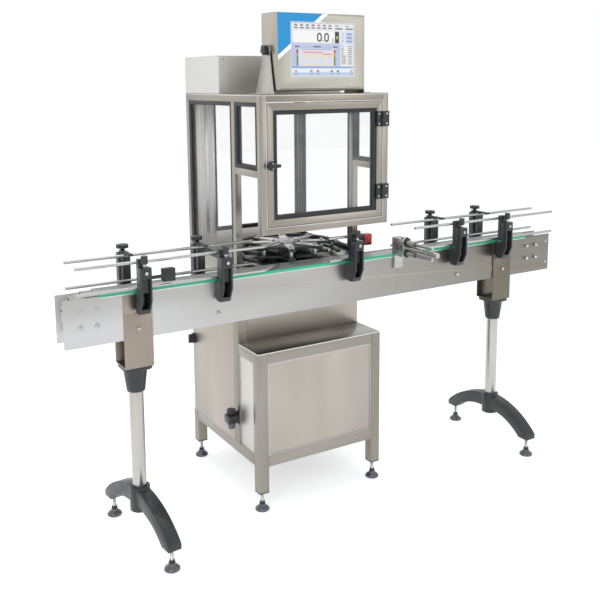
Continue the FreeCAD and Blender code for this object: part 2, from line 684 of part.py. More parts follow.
def leg_channels():
    """U-shaped brackets that straddle the conveyor and stand on the collars."""
    channels = []
    for x in LEG_SPOTS:
        x0 = x - LEG_CHANNEL_WIDTH / 2
        x1 = x + LEG_CHANNEL_WIDTH / 2
        outer = block(x0, x1, -LEG_CHANNEL_WALL, CONVEYOR_WIDTH + LEG_CHANNEL_WALL, LEG_CHANNEL_BOTTOM,
                      LEG_CHANNEL_TOP)
        inner = block(x0, x1, 0, CONVEYOR_WIDTH, LEG_CHANNEL_BOTTOM + LEG_CHANNEL_WALL, LEG_CHANNEL_TOP)
        channels.append(outer.cut(inner))
    return channels


def leg_collars():
    """Moulded collars with a square flange and a tapered body round the pipe."""
    collars = []
    top = LEG_CHANNEL_BOTTOM
    half = (CONVEYOR_WIDTH + 2 * LEG_CHANNEL_WALL) / 2
    for x in LEG_SPOTS:
        flange = block(x - half, x + half, LANE_Y - half, LANE_Y + half, top - COLLAR_FLANGE, top)
        corner_cut = half * COLLAR_CORNER_SHARE
        for dx in (-1, 1):
            for dy in (-1, 1):
                outline = [(x + dx * half, LANE_Y + dy * half), (x + dx * (half - corner_cut), LANE_Y + dy * half),
                           (x + dx * half, LANE_Y + dy * (half - corner_cut))]
                flange = flange.cut(prism_z(outline, top - COLLAR_FLANGE, top))
        cone_height = COLLAR_HEIGHT - COLLAR_FLANGE
        cone = Part.makeCone(COLLAR_LOW_RADIUS, COLLAR_TOP_RADIUS, cone_height,
                             VEC(x, LANE_Y, top - COLLAR_HEIGHT))
        bore = bar(x, LANE_Y, top - COLLAR_HEIGHT, Z_DIR, PIPE_RADIUS, COLLAR_HEIGHT)
        collars.append(flange.fuse(cone).cut(bore))
    return collars


def leg_tubes():
    """Steel pipes from the collars down into the bipod hubs."""
    length = LEG_CHANNEL_BOTTOM - PIPE_BOTTOM
    return [sleeve(x, LANE_Y, PIPE_BOTTOM, Z_DIR, PIPE_RADIUS, PIPE_RADIUS - PIPE_WALL, length)
            for x in LEG_SPOTS]


def arched_arm():
    """One arm of a bipod along +Y from the origin, as an arched profile."""
    tip = FOOT_SPREAD + ARM_WIDTH / 2
    end_inner = FOOT_SPREAD - ARM_WIDTH / 2
    end_top = ARM_END_BOTTOM + ARM_END_HEIGHT
    root_y = HUB_RADIUS - ARM_ROOT_INSET
    root_top = VEC(0, root_y, HUB_TOP - ARM_ROOT_DROP)
    root_low = VEC(0, root_y, HUB_BOTTOM + ARM_ROOT_RISE)
    nose_top = VEC(0, tip - ARM_NOSE_INSET, end_top)
    end_low = VEC(0, end_inner, ARM_END_BOTTOM)
    crown = VEC(0, FOOT_SPREAD * ARM_CROWN_SHARE, HUB_TOP - ARM_CROWN_DROP)
    arch = VEC(0, FOOT_SPREAD * ARM_ARCH_SHARE, HUB_BOTTOM + ARM_ARCH_RISE)
    top = Part.Arc(root_top, crown, nose_top).toShape()
    under = Part.Arc(end_low, arch, root_low).toShape()
    nose = Part.makePolygon([nose_top, VEC(0, tip, end_top - ARM_NOSE_DROP), VEC(0, tip, ARM_END_BOTTOM), end_low])
    heel = Part.makePolygon([root_low, root_top])
    face = Part.Face(Part.Wire([top] + nose.Edges + [under] + heel.Edges))
    face.translate(VEC(-ARM_WIDTH / 2, 0, 0))
    return face.extrude(VEC(ARM_WIDTH, 0, 0))


def bipod(x, turn):
    """Moulded foot with a clamping hub and two arched arms."""
    body = bar(0, 0, HUB_BOTTOM, Z_DIR, HUB_RADIUS, HUB_TOP - HUB_BOTTOM)
    for angle in (0, 180):
        arm = arched_arm()
        arm.rotate(VEC(0, 0, 0), Z_DIR, angle)
        body = body.fuse(arm)
    body = body.cut(bar(0, 0, ARM_END_BOTTOM, Z_DIR, PIPE_RADIUS + MOVE_GAP, HUB_TOP - ARM_END_BOTTOM))
    for side in (-1, 1):
        body = body.cut(bar(0, side * FOOT_SPREAD, ARM_END_BOTTOM, Z_DIR, SPINDLE_RADIUS, ARM_END_HEIGHT / 2))
    return [placed_on_leg(body, x, turn)]


def placed_on_leg(shape, x, turn):
    """Turns a bipod piece about its pipe and moves it to its leg."""
    shape.rotate(VEC(0, 0, 0), Z_DIR, turn)
    shape.translate(VEC(x, LANE_Y, 0))
    return shape


def levelling_foot(x, y, spindle_top, nut_top):
    """Bell pad, threaded spindle and lock nut."""
    pad = revolved([(0, 0), (FOOT_RADIUS, 0), (FOOT_RADIUS, FOOT_HEIGHT * FOOT_RIM_SHARE),
                    (FOOT_RADIUS * FOOT_SHOULDER_RADIUS_SHARE, FOOT_HEIGHT * FOOT_SHOULDER_SHARE),
                    (FOOT_NECK, FOOT_HEIGHT * FOOT_NECK_SHARE), (FOOT_NECK, FOOT_HEIGHT), (0, FOOT_HEIGHT)], x, y)
    spindle = bar(x, y, FOOT_HEIGHT, Z_DIR, SPINDLE_RADIUS, spindle_top - FOOT_HEIGHT)
    nut = hexagon(x, y, nut_top - FOOT_NUT_HEIGHT, Z_DIR, FOOT_NUT_AF, FOOT_NUT_HEIGHT)
    return [pad, spindle, nut.cut(spindle)]


def bipod_feet(x, turn):
    """Two levelling feet under the arm ends."""
    feet = []
    for side in (-1, 1):
        feet += levelling_foot(0, side * FOOT_SPREAD, ARM_END_BOTTOM + ARM_END_HEIGHT / 2, ARM_END_BOTTOM)
    return [placed_on_leg(piece, x, turn) for piece in feet]


def base_post_centres():
    """Centres of the four posts that stand on feet."""
    inset = BASE_TUBE / 2
    return [(x, y) for x in (BASE_LEFT + inset, BASE_RIGHT - inset) for y in (BASE_FRONT + inset, BASE_BACK - inset)]


def base_feet():
    """End plugs in the posts and the four levelling feet."""
    pieces = []
    half = BASE_TUBE / 2 - BASE_WALL
    for x, y in base_post_centres():
        plug = block(x - half, x + half, y - half, y + half, POST_BOTTOM, POST_BOTTOM + CAP_HEIGHT)
        foot = levelling_foot(x, y, POST_BOTTOM + CAP_HEIGHT, POST_BOTTOM)
        pieces += [plug.cut(foot[1])] + foot
    return pieces


def base_frame():
    """Welded square tubes of the cabinet and the two ties to the conveyor."""
    x0, x1, t, w = BASE_LEFT, BASE_RIGHT, BASE_TUBE, BASE_WALL
    y0, y1, ym = BASE_FRONT, BASE_BACK, BODY_FRONT
    tubes = []
    for x in (x0, x1 - t):
        tubes.append(square_tube(x, x + t, y0, y0 + t, POST_BOTTOM, STEP_TOP, "z", w))
        tubes.append(square_tube(x, x + t, ym, ym + t, RAIL_TOP, DECK_BOTTOM, "z", w))
        tubes.append(square_tube(x, x + t, y1 - t, y1, POST_BOTTOM, DECK_BOTTOM, "z", w))
        tubes.append(square_tube(x, x + t, y0 + t, y1 - t, RAIL_BOTTOM, RAIL_TOP, "y", w))
        tubes.append(square_tube(x, x + t, y0 + t, ym, STEP_TOP - t, STEP_TOP, "y", w))
        tubes.append(square_tube(x, x + t, ym + t, y1 - t, DECK_BOTTOM - t, DECK_BOTTOM, "y", w))
        tubes.append(square_tube(x, x + TIE_TUBE, CONVEYOR_WIDTH, ym, TIE_TUBE_TOP - TIE_TUBE, TIE_TUBE_TOP, "y", w))
    for y, low in ((y0, RAIL_BOTTOM), (y0, STEP_TOP - t), (y1 - t, RAIL_BOTTOM), (ym, DECK_BOTTOM - t),
                   (y1 - t, DECK_BOTTOM - t)):
        tubes.append(square_tube(x0 + t, x1 - t, y, y + t, low, low + t, "x", w))
    return tubes


def base_panels():
    """Sheet panels set inside the tube openings."""
    x0, x1, t = BASE_LEFT, BASE_RIGHT, BASE_TUBE
    step_high = STEP_TOP - t
    body_high = DECK_BOTTOM - t
    set_in = PANEL_RECESS
    thick = PANEL_SHEET
    front_y = BASE_FRONT + set_in
    body_y = BODY_FRONT + set_in
    back_y = BASE_BACK - set_in - thick
    panels = [
        block(x0 + t, x1 - t, front_y, front_y + thick, RAIL_TOP, step_high),
        block(x0 + t, x1 - t, body_y, body_y + thick, STEP_TOP, body_high),
        block(x0 + t, x1 - t, back_y, back_y + thick, RAIL_TOP, body_high),
    ]
    for x in (x0 + set_in, x1 - set_in - thick):
        panels.append(block(x, x + thick, BASE_FRONT + t, BODY_FRONT, RAIL_TOP, step_high))
        panels.append(block(x, x + thick, BODY_FRONT + t, BASE_BACK - t, RAIL_TOP, body_high))
    return panels


def cover_plates():
    """Step cover, deck with its two openings, and roof plate."""
    step = block(BASE_LEFT, BASE_RIGHT, BASE_FRONT, BODY_FRONT, STEP_TOP, STEP_TOP + PANEL_SHEET)
    deck = block(BASE_LEFT, BASE_RIGHT, DECK_FRONT, BASE_BACK, DECK_BOTTOM, DECK_TOP)
    deck = deck.cut(bar(STAR_X, STAR_Y, DECK_BOTTOM, Z_DIR, STAR_SHAFT_RADIUS + SIDE_PLAY, SHEET))
    reach = WEIGH_SIZE / 2 + WEIGH_GAP
    deck = deck.cut(block(STAR_X - reach, STAR_X + reach, WEIGH_Y - reach, WEIGH_Y + reach, DECK_BOTTOM, DECK_TOP))
    roof = block(BASE_LEFT, BASE_RIGHT, GUARD_FRONT, BASE_BACK, GUARD_TOP, ROOF_TOP)
    return [step, deck, roof]


def weigh_platform():
    """Weighing plate in the deck on its beam load cell and hanger."""
    half = WEIGH_SIZE / 2
    plate = block(STAR_X - half, STAR_X + half, WEIGH_Y - half, WEIGH_Y + half, DECK_BOTTOM, DECK_TOP)
    side = CELL_WIDTH / 2
    low = DECK_BOTTOM - CELL_STEM
    stem = block(STAR_X - side, STAR_X + side, WEIGH_Y - side, WEIGH_Y + side, low, DECK_BOTTOM)
    far = WEIGH_Y + half + WEIGH_GAP + CELL_WIDTH
    beam = block(STAR_X - side, STAR_X + side, WEIGH_Y - side, far, low - CELL_HEIGHT, low)
    hanger = block(STAR_X - side, STAR_X + side, far - CELL_WIDTH, far, low, DECK_BOTTOM)
    return [plate.fuse(stem), beam, hanger]


def star_pockets(z0, height):
    """Cutters for the product pockets round the wheel."""
    pockets = []
    for k in range(STAR_POCKETS):
        angle = math.radians(360 / STAR_POCKETS * k - 90)
        pockets.append(bar(STAR_X + WEIGH_CIRCLE * math.cos(angle), STAR_Y + WEIGH_CIRCLE * math.sin(angle), z0,
                           Z_DIR, POCKET_RADIUS, height))
    return pockets


def star_discs():
    """Two pocketed plastic discs of the star wheel."""
    discs = []
    for z in (STAR_LOW, STAR_LOW + STAR_DISC + STAR_DISC_GAP):
        disc = sleeve(STAR_X, STAR_Y, z, Z_DIR, STAR_RADIUS, STAR_SHAFT_RADIUS, STAR_DISC)
        for pocket in star_pockets(z, STAR_DISC):
            disc = disc.cut(pocket)
        discs.append(disc)
    return discs


def star_hub():
    """Shaft, hub flanges, spacer posts, sector plates and bolts of the star wheel."""
    shaft = bar(STAR_X, STAR_Y, HOUSING_BOTTOM + MOVE_GAP, Z_DIR, STAR_SHAFT_RADIUS,
                STAR_TOP + STAR_SHAFT_TAIL - HOUSING_BOTTOM - MOVE_GAP)
    foot = sleeve(STAR_X, STAR_Y, STAR_HUB_LOW, Z_DIR, STAR_HUB_RADIUS, STAR_SHAFT_RADIUS, STAR_LOW - STAR_HUB_LOW)
    middle = sleeve(STAR_X, STAR_Y, STAR_LOW + STAR_DISC, Z_DIR, STAR_HUB_RADIUS * STAR_SPACER_SHARE,
                    STAR_SHAFT_RADIUS,
                    STAR_DISC_GAP)
    cap = sleeve(STAR_X, STAR_Y, STAR_TOP, Z_DIR, STAR_HUB_RADIUS, STAR_SHAFT_RADIUS, STAR_CAP)
    pieces = [shaft, foot, middle, cap]
    for k in range(STAR_POCKETS):
        turn = 360 / STAR_POCKETS * (k + 0.5) - 90
        post = bar(STAR_POST_CIRCLE, 0, STAR_LOW + STAR_DISC, Z_DIR, STAR_POST_RADIUS, STAR_DISC_GAP)
        sector = prism_z([(SECTOR_INNER, -SECTOR_INNER_WIDTH / 2), (SECTOR_OUTER, -SECTOR_OUTER_WIDTH / 2),
                          (SECTOR_OUTER, SECTOR_OUTER_WIDTH / 2), (SECTOR_INNER, SECTOR_INNER_WIDTH / 2)],
                         STAR_TOP, STAR_TOP + SECTOR_SHEET)
        bolt = hexagon(STAR_POST_CIRCLE, 0, STAR_TOP + SECTOR_SHEET, Z_DIR, BOLT_AF, BOLT_HEAD)
        for piece in (post, sector, bolt):
            piece.rotate(VEC(0, 0, 0), Z_DIR, turn)
            piece.translate(VEC(STAR_X, STAR_Y, 0))
            pieces.append(piece)
    return pieces


def outer_guide():
    """Curved product guides round the back of the star wheel on posts."""
    outer = GUIDE_ARC_INNER + GUIDE_ARC_WIDTH
    sweep = GUIDE_ARC_END - GUIDE_ARC_START
    pieces = []
    for z in GUIDE_ARC_LEVELS:
        ring = Part.makeCylinder(outer, GUIDE_ARC_SHEET, VEC(0, 0, z), Z_DIR, sweep)
        ring = ring.cut(Part.makeCylinder(GUIDE_ARC_INNER, GUIDE_ARC_SHEET, VEC(0, 0, z)))
        pieces.append(ring)
    for k in range(GUIDE_POSTS):
        angle = math.radians(sweep * (k + 0.5) / GUIDE_POSTS)
        circle = GUIDE_ARC_INNER + GUIDE_ARC_WIDTH / 2
        x, y = circle * math.cos(angle), circle * math.sin(angle)
        levels = [DECK_TOP] + [z + step for z in GUIDE_ARC_LEVELS for step in (0, GUIDE_ARC_SHEET)]
        for low, high in zip(levels[0::2], levels[1::2]):
            pieces.append(bar(x, y, low, Z_DIR, GUIDE_POST_RADIUS, high - low))
    for piece in pieces:
        piece.rotate(VEC(0, 0, 0), Z_DIR, GUIDE_ARC_START)
        piece.translate(VEC(STAR_X, STAR_Y, 0))
    return pieces


def upper_frame():
    """Welded square tubes of the glazed guard."""
    x0, x1, t, w = BASE_LEFT, BASE_RIGHT, GUARD_TUBE, GUARD_WALL
    yf, yb = GUARD_FRONT, GUARD_FRAME_BACK
    tubes = []
    for x in (x0, x1 - t):
        tubes.append(square_tube(x, x + t, yf, yb, GUARD_BOTTOM, GUARD_TOP, "z", w))
        tubes.append(square_tube(x, x + t, BODY_FRONT, MID_POST_BACK, DECK_TOP, TOP_RAIL_BOTTOM, "z", w))
        tubes.append(square_tube(x, x + t, REAR_POST_FRONT, BASE_BACK, DECK_TOP, TOP_RAIL_BOTTOM, "z", w))
        tubes.append(square_tube(x, x + t, yb, BASE_BACK, TOP_RAIL_BOTTOM, GUARD_TOP, "y", w))
        tubes.append(square_tube(x, x + t, yb, BODY_FRONT, MID_RAIL_BOTTOM, MID_RAIL_BOTTOM + t, "y", w))
    for y, low in ((yf, TOP_RAIL_BOTTOM), (yf, GUARD_BOTTOM), (REAR_POST_FRONT, TOP_RAIL_BOTTOM)):
        tubes.append(square_tube(x0 + t, x1 - t, y, y + t, low, low + t, "x", w))
    return tubes


def guard_openings():
    """Glazed openings as (x0, x1, y0, y1, z0, z1) of each seal's outside."""
    x0, x1, t = BASE_LEFT, BASE_RIGHT, GUARD_TUBE
    slack = (GUARD_TUBE - SEAL_DEPTH) / 2
    openings = []
    for x in (x0 + slack, x1 - t + slack):
        openings.append((x, x + SEAL_DEPTH, GUARD_FRAME_BACK, BODY_FRONT, MID_RAIL_BOTTOM + t, TOP_RAIL_BOTTOM))
        openings.append((x, x + SEAL_DEPTH, MID_POST_BACK, REAR_POST_FRONT, DECK_TOP, TOP_RAIL_BOTTOM))
    y = REAR_POST_FRONT + slack
    openings.append((x0 + t + DUCT_WIDTH, x1 - t, y, y + SEAL_DEPTH, UPSTAND_TOP, TOP_RAIL_BOTTOM))
    return openings


def glazing(bounds, normal):
    """Rubber ring and pane that fill one opening; normal names the thin axis."""
    x0, x1, y0, y1, z0, z1 = bounds
    ring = block(x0, x1, y0, y1, z0, z1)
    clear = [x0 + SEAL_FACE, x1 - SEAL_FACE, y0 + SEAL_FACE, y1 - SEAL_FACE, z0 + SEAL_FACE, z1 - SEAL_FACE]
    glass = [clear[0] - PANE_BITE, clear[1] + PANE_BITE, clear[2] - PANE_BITE, clear[3] + PANE_BITE,
             clear[4] - PANE_BITE, clear[5] + PANE_BITE]
    low = 0 if normal == "x" else 2
    middle = (bounds[low] + bounds[low + 1]) / 2
    clear[low], clear[low + 1] = bounds[low], bounds[low + 1]
    glass[low], glass[low + 1] = middle - PANE_THICKNESS / 2, middle + PANE_THICKNESS / 2
    pane = block(*glass)
    return ring.cut(block(*clear)).cut(pane), pane


def window_glazing():
    """Seals and panes of the fixed windows."""
    seals = []
    panes = []
    for bounds in guard_openings():
        normal = "y" if bounds[1] - bounds[0] > SEAL_DEPTH + MOVE_GAP else "x"
        ring, pane = glazing(bounds, normal)
        seals.append(ring)
        panes.append(pane)
    return seals, panes


def cable_duct():
    """Ribbed sheet duct up the rear left corner and the upstand below the rear window."""
    x0 = BASE_LEFT + GUARD_TUBE
    x1 = x0 + DUCT_WIDTH
    y0 = BASE_BACK - DUCT_DEPTH
    duct = square_tube(x0, x1, y0, BASE_BACK, DECK_TOP, TOP_RAIL_BOTTOM, "z", PANEL_SHEET)
    pitch = DUCT_WIDTH / DUCT_RIB_COUNT
    for k in range(DUCT_RIB_COUNT):
        centre = x0 + pitch * (k + 0.5)
        duct = duct.fuse(block(centre - DUCT_RIB, centre + DUCT_RIB, y0 - DUCT_RIB, y0, DECK_TOP, TOP_RAIL_BOTTOM))
    upstand_y = REAR_POST_FRONT + (GUARD_TUBE - SEAL_DEPTH) / 2
    upstand = block(x1, BASE_RIGHT - GUARD_TUBE, upstand_y, upstand_y + SEAL_DEPTH, DECK_TOP, UPSTAND_TOP)
    return [duct, upstand]


def control_box():
    """Hollow sheet enclosure on the roof plate."""
    y0 = BASE_BACK - BOX_DEPTH
    outer = block(BASE_LEFT, BASE_RIGHT, y0, BASE_BACK, ROOF_TOP, ROOF_TOP + BOX_HEIGHT)
    inner = block(BASE_LEFT + PANEL_SHEET, BASE_RIGHT - PANEL_SHEET, y0 + PANEL_SHEET, BASE_BACK - PANEL_SHEET,
                  ROOF_TOP, ROOF_TOP + BOX_HEIGHT - PANEL_SHEET)
    return [outer.cut(inner)]


def door_frame():
    """Mitred square-tube door leaf with the handle hole through its left stile."""
    x0, x1, t, w = DOOR_LEFT, DOOR_RIGHT, GUARD_TUBE, GUARD_WALL
    y0, y1 = GUARD_FRONT, GUARD_FRAME_BACK
    left = square_tube(x0, x0 + t, y0, y1, DOOR_BOTTOM, DOOR_TOP, "z", w)
    left = left.cut(bar(HANDLE_X, y0, HANDLE_HEIGHT, Y_DIR, STUD_RADIUS + MOVE_GAP, w))
    right = square_tube(x1 - t, x1, y0, y1, DOOR_BOTTOM, DOOR_TOP, "z", w)
    low = square_tube(x0 + t, x1 - t, y0, y1, DOOR_BOTTOM, DOOR_BOTTOM + t, "x", w)
    high = square_tube(x0 + t, x1 - t, y0, y1, DOOR_TOP - t, DOOR_TOP, "x", w)
    return [left, right, low, high]


def door_glazing():
    """Seal ring and pane of the door."""
    t = GUARD_TUBE
    slack = (GUARD_TUBE - SEAL_DEPTH) / 2
    y0 = GUARD_FRONT + slack
    return glazing((DOOR_LEFT + t, DOOR_RIGHT - t, y0, y0 + SEAL_DEPTH, DOOR_BOTTOM + t, DOOR_TOP - t), "y")


def hinge_leaf(z, side):
    """One hinge leaf: side +1 is the fixed leaf with the lower knuckle and pin, -1 the door leaf."""
    half = HINGE_HEIGHT / 2
    front = GUARD_FRONT - HINGE_LEAF
    near = HINGE_X + side * (HINGE_RADIUS + SIDE_PLAY)
    far = near + side * HINGE_LEAF_WIDTH
    plate = block(min(near, far), max(near, far), front, GUARD_FRONT, z - half, z + half)
    low, high = (z - half, z - MOVE_GAP / 2) if side > 0 else (z + MOVE_GAP / 2, z + half)
    arm = block(min(HINGE_X, near), max(HINGE_X, near), HINGE_Y - HINGE_RADIUS + 1, front + 2, low, high)
    leaf = plate.fuse(arm).fuse(bar(HINGE_X, HINGE_Y, low, Z_DIR, HINGE_RADIUS, high - low))
    if side > 0:
        return [leaf.cut(pin_at(z, 0)), pin_at(z, 0)]
    return [leaf.cut(pin_at(z, RUN_FIT))]


def pin_at(z, growth):
    """Hinge pin along both knuckles, or its bore when growth is given."""
    return bar(HINGE_X, HINGE_Y, z - HINGE_HEIGHT / 2, Z_DIR, HINGE_PIN_RADIUS + growth, HINGE_HEIGHT)


def door_handle():
    """Quarter-turn lever with its rose and spindle."""
    spindle = bar(HANDLE_X, GUARD_FRONT + HANDLE_SPINDLE, HANDLE_HEIGHT, -Y_DIR, STUD_RADIUS,
                  HANDLE_SPINDLE + MOVE_GAP)
    rose = bar(HANDLE_X, GUARD_FRONT - MOVE_GAP, HANDLE_HEIGHT, -Y_DIR, HANDLE_ROSE_RADIUS, HANDLE_ROSE_DEPTH)
    tail = HANDLE_LEVER_WIDTH
    half = HANDLE_LEVER_WIDTH / 2
    end = HANDLE_LEVER_LENGTH - tail
    shoulder = tail * HANDLE_TIP_SHARE
    front = HANDLE_PAD_FRONT - HANDLE_LEVER_DEPTH
    upper = [(-tail, half * HANDLE_TAIL_SHARE), (-shoulder, half), (0, half), (end, half * HANDLE_TIP_SHARE)]
    outline = upper + [(u, -v) for u, v in reversed(upper)]
    face = polygon([VEC(HANDLE_X + u, front, HANDLE_HEIGHT + v) for u, v in outline])
    lever = face.extrude(VEC(0, HANDLE_LEVER_DEPTH, 0))
    return [spindle.fuse(rose).fuse(lever)]


def terminal_case():
    """Folded steel case with a recessed display opening, two pivot bosses and a threaded stud in each."""
    body = block(CASE_LEFT, CASE_RIGHT, CASE_FRONT, CASE_BACK, CASE_BOTTOM, CASE_TOP)
    edges = [edge for edge in body.Edges if abs(edge.Length - CASE_WIDTH) < MOVE_GAP]
    body = body.makeFillet(CASE_EDGE, edges)
    left = CASE_LEFT + SCREEN_LEFT_INSET
    low = CASE_BOTTOM + SCREEN_BOTTOM_INSET
    body = body.cut(block(left, left + SCREEN_WIDTH, CASE_FRONT, CASE_FRONT + SCREEN_RECESS, low,
                          low + SCREEN_HEIGHT))
    wall = CASE_WALL
    body = body.cut(block(CASE_LEFT + wall, CASE_RIGHT - wall, CASE_FRONT + SCREEN_RECESS + wall, CASE_BACK - wall,
                          CASE_BOTTOM + CASE_EDGE, CASE_TOP - CASE_EDGE))
    boss = YOKE_GAP - MOVE_GAP
    studs = []
    for x, direction in ((CASE_LEFT, -X_DIR), (CASE_RIGHT, X_DIR)):
        body = body.fuse(bar(x, TILT_Y, TILT_AXIS_HEIGHT, direction, TILT_BOSS_RADIUS, boss))
        length = YOKE_GAP + SHEET + MOVE_GAP + TILT_STUD_GRIP - RUN_FIT
        stud = bar(x, TILT_Y, TILT_AXIS_HEIGHT, direction, STUD_RADIUS, length)
        body = body.cut(stud)
        studs.append(stud)
    return [body] + studs


def terminal_screen():
    """Display glass seated in the case opening."""
    left = CASE_LEFT + SCREEN_LEFT_INSET
    low = CASE_BOTTOM + SCREEN_BOTTOM_INSET
    back = CASE_FRONT + SCREEN_RECESS
    return [block(left, left + SCREEN_WIDTH, back - SCREEN_SHEET, back, low, low + SCREEN_HEIGHT)]


def terminal_bracket():
    """Two trapezoid cheeks with outward feet that carry the terminal."""
    cheeks = []
    back = YOKE_FRONT + YOKE_DEPTH
    top = TILT_AXIS_HEIGHT
    outline = [(YOKE_FRONT, ROOF_TOP), (back, ROOF_TOP), (TILT_Y + YOKE_HEAD_RADIUS, top),
               (TILT_Y + YOKE_HEAD_RADIUS * YOKE_HEAD_SHARE, top + YOKE_HEAD_RADIUS),
               (TILT_Y - YOKE_HEAD_RADIUS * YOKE_HEAD_SHARE, top + YOKE_HEAD_RADIUS), (TILT_Y - YOKE_HEAD_RADIUS, top)]
    for x, side in ((CASE_LEFT - YOKE_GAP, -1), (CASE_RIGHT + YOKE_GAP, 1)):
        outside = x + side * SHEET
        cheek = prism_x(outline, min(x, outside), max(x, outside))
        foot_end = x + side * YOKE_FOOT
        foot = block(min(outside, foot_end), max(outside, foot_end), YOKE_FRONT, back, ROOF_TOP, ROOF_TOP + SHEET)
        hole = bar(x, TILT_Y, TILT_AXIS_HEIGHT, X_DIR * side, STUD_RADIUS + MOVE_GAP, SHEET)
        cheeks.append(cheek.fuse(foot).cut(hole))
    return cheeks


def tilt_knob(side):
    """Lobed clamp knob with the blind bore that runs on the case stud."""
    edge = CASE_LEFT if side < 0 else CASE_RIGHT
    seat = edge + side * (YOKE_GAP + SHEET + MOVE_GAP)
    knob = lobed_knob(seat, TILT_Y, TILT_AXIS_HEIGHT, X_DIR * side, TILT_KNOB_RADIUS, TILT_KNOB_DEPTH)
    return [knob.cut(bar(seat, TILT_Y, TILT_AXIS_HEIGHT, X_DIR * side, STUD_RADIUS + RUN_FIT, TILT_STUD_GRIP))]


def bracket_seats():
    """Where each guide bracket stands: its X, the face it stands on and which way it points."""
    seats = []
    for x in FRONT_BRACKETS:
        seats.append((x, 0, -1))
    for x in REAR_BRACKETS:
        seats.append((x, CONVEYOR_WIDTH, 1))
    return seats


def guide_bracket(x, y0, side):
    """Moulded boomerang bracket with an open channel down its outer side and a bored head."""
    top = BRACKET_TOP if side < 0 else REAR_BRACKET_TOP
    inner = BRACKET_REACH - BRACKET_STEM
    outline = [(0, BRACKET_SEAT_TOP), (0, BRACKET_BOTTOM + BRACKET_HEEL), (BRACKET_TOE_NEAR, BRACKET_BOTTOM),
               (BRACKET_TOE_FAR, BRACKET_BOTTOM), (BRACKET_REACH, BRACKET_BOTTOM + BRACKET_KNEE), (BRACKET_REACH, top),
               (inner, top), (inner, BRACKET_SEAT_TOP + BRACKET_SLOPE)]
    neck = top - BRACKET_HEAD
    web = BRACKET_WEB
    outside = BRACKET_REACH + web
    pocket_low = BRACKET_BOTTOM + BRACKET_POCKET_RISE
    pocket_bend = BRACKET_SEAT_TOP - BRACKET_POCKET_LIP
    pocket = [(web, pocket_low), (web, pocket_bend), (inner + web, pocket_bend + BRACKET_SLOPE), (inner + web, neck),
              (outside, neck), (outside, pocket_low)]
    half = BRACKET_WIDTH / 2
    body = prism_x([(y0 + side * u, z) for u, z in outline], x - half, x + half)
    inside = half - BRACKET_FLANGE
    body = body.cut(prism_x([(y0 + side * u, z) for u, z in pocket], x - inside, x + inside))
    if side < 0:
        bore = bar(x, y0 - inner, CROSS_ROD_Z, -Y_DIR, CROSS_ROD_RADIUS + RUN_FIT, BRACKET_STEM)
        body = body.cut(bore)
    else:
        stud_hole = bar(x, T_KNOB_Y, top - BRACKET_HEAD, Z_DIR, STUD_RADIUS + RUN_FIT, BRACKET_HEAD)
        body = body.cut(stud_hole)
    return body


def guide_brackets():
    """All fixed guide brackets with the capped clamp screws of the front row."""
    pieces = []
    for x, y0, side in bracket_seats():
        pieces.append(guide_bracket(x, y0, side))
        if side < 0:
            y = y0 - BRACKET_REACH + BRACKET_STEM / 2
            pieces.append(bar(x, y, BRACKET_TOP, Z_DIR, STUD_RADIUS + CAP_NUT_COLLAR, CAP_NUT_STUB))
            pieces.append(bar(x, y, BRACKET_TOP + CAP_NUT_STUB, Z_DIR, CAP_NUT_RADIUS, CAP_NUT_HEIGHT))
    return pieces


def straight_rails(x0, x1, y):
    """A pair of round rails at the two guide levels."""
    return [bar(x0, y, z, X_DIR, RAIL_RADIUS, x1 - x0) for z in RAIL_LEVELS]


def bent_rails(x0, bend_x, y):
    """A pair of rails whose inner ends turn in towards the star wheel."""
    rails = []
    turn = math.atan2(INFEED_BEND_REACH, INFEED_BEND_RUN)
    setback = BEND_RADIUS * math.tan(turn / 2)
    for z in RAIL_LEVELS:
        corner = VEC(bend_x, y, z)
        along = VEC(math.cos(turn), math.sin(turn), 0)
        start = corner - X_DIR * setback
        finish = corner + along * setback
        middle_turn = turn / 2
        centre = start + Y_DIR * BEND_RADIUS
        middle = centre + VEC(math.sin(middle_turn), -math.cos(middle_turn), 0) * BEND_RADIUS
        tip = corner + VEC(INFEED_BEND_RUN, INFEED_BEND_REACH, 0)
        path = Part.Wire([Part.LineSegment(VEC(x0, y, z), start).toShape(), Part.Arc(start, middle, finish).toShape(),
                          Part.LineSegment(finish, tip).toShape()])
        circle = Part.Wire(Part.Circle(VEC(x0, y, z), X_DIR, RAIL_RADIUS).toShape())
        rails.append(path.makePipeShell([circle], True, True))
    return rails


def front_clamps(spots):
    """Vertical rail clamps of the front row with their cross rods."""
    pieces = []
    half = CLAMP_WIDTH / 2
    tail = -BRACKET_REACH - CROSS_ROD_TAIL
    for x in spots:
        clamp = block(x - half, x + half, CLAMP_OUTER, CLAMP_INNER, CLAMP_BOTTOM, CLAMP_TOP)
        for z in RAIL_LEVELS:
            clamp = clamp.cut(bar(x - half, -RAIL_OUTSET, z, X_DIR, RAIL_RADIUS, CLAMP_WIDTH))
        pieces.append(clamp)
        pieces.append(bar(x, tail, CROSS_ROD_Z, Y_DIR, CROSS_ROD_RADIUS, CLAMP_OUTER - tail))
    return pieces


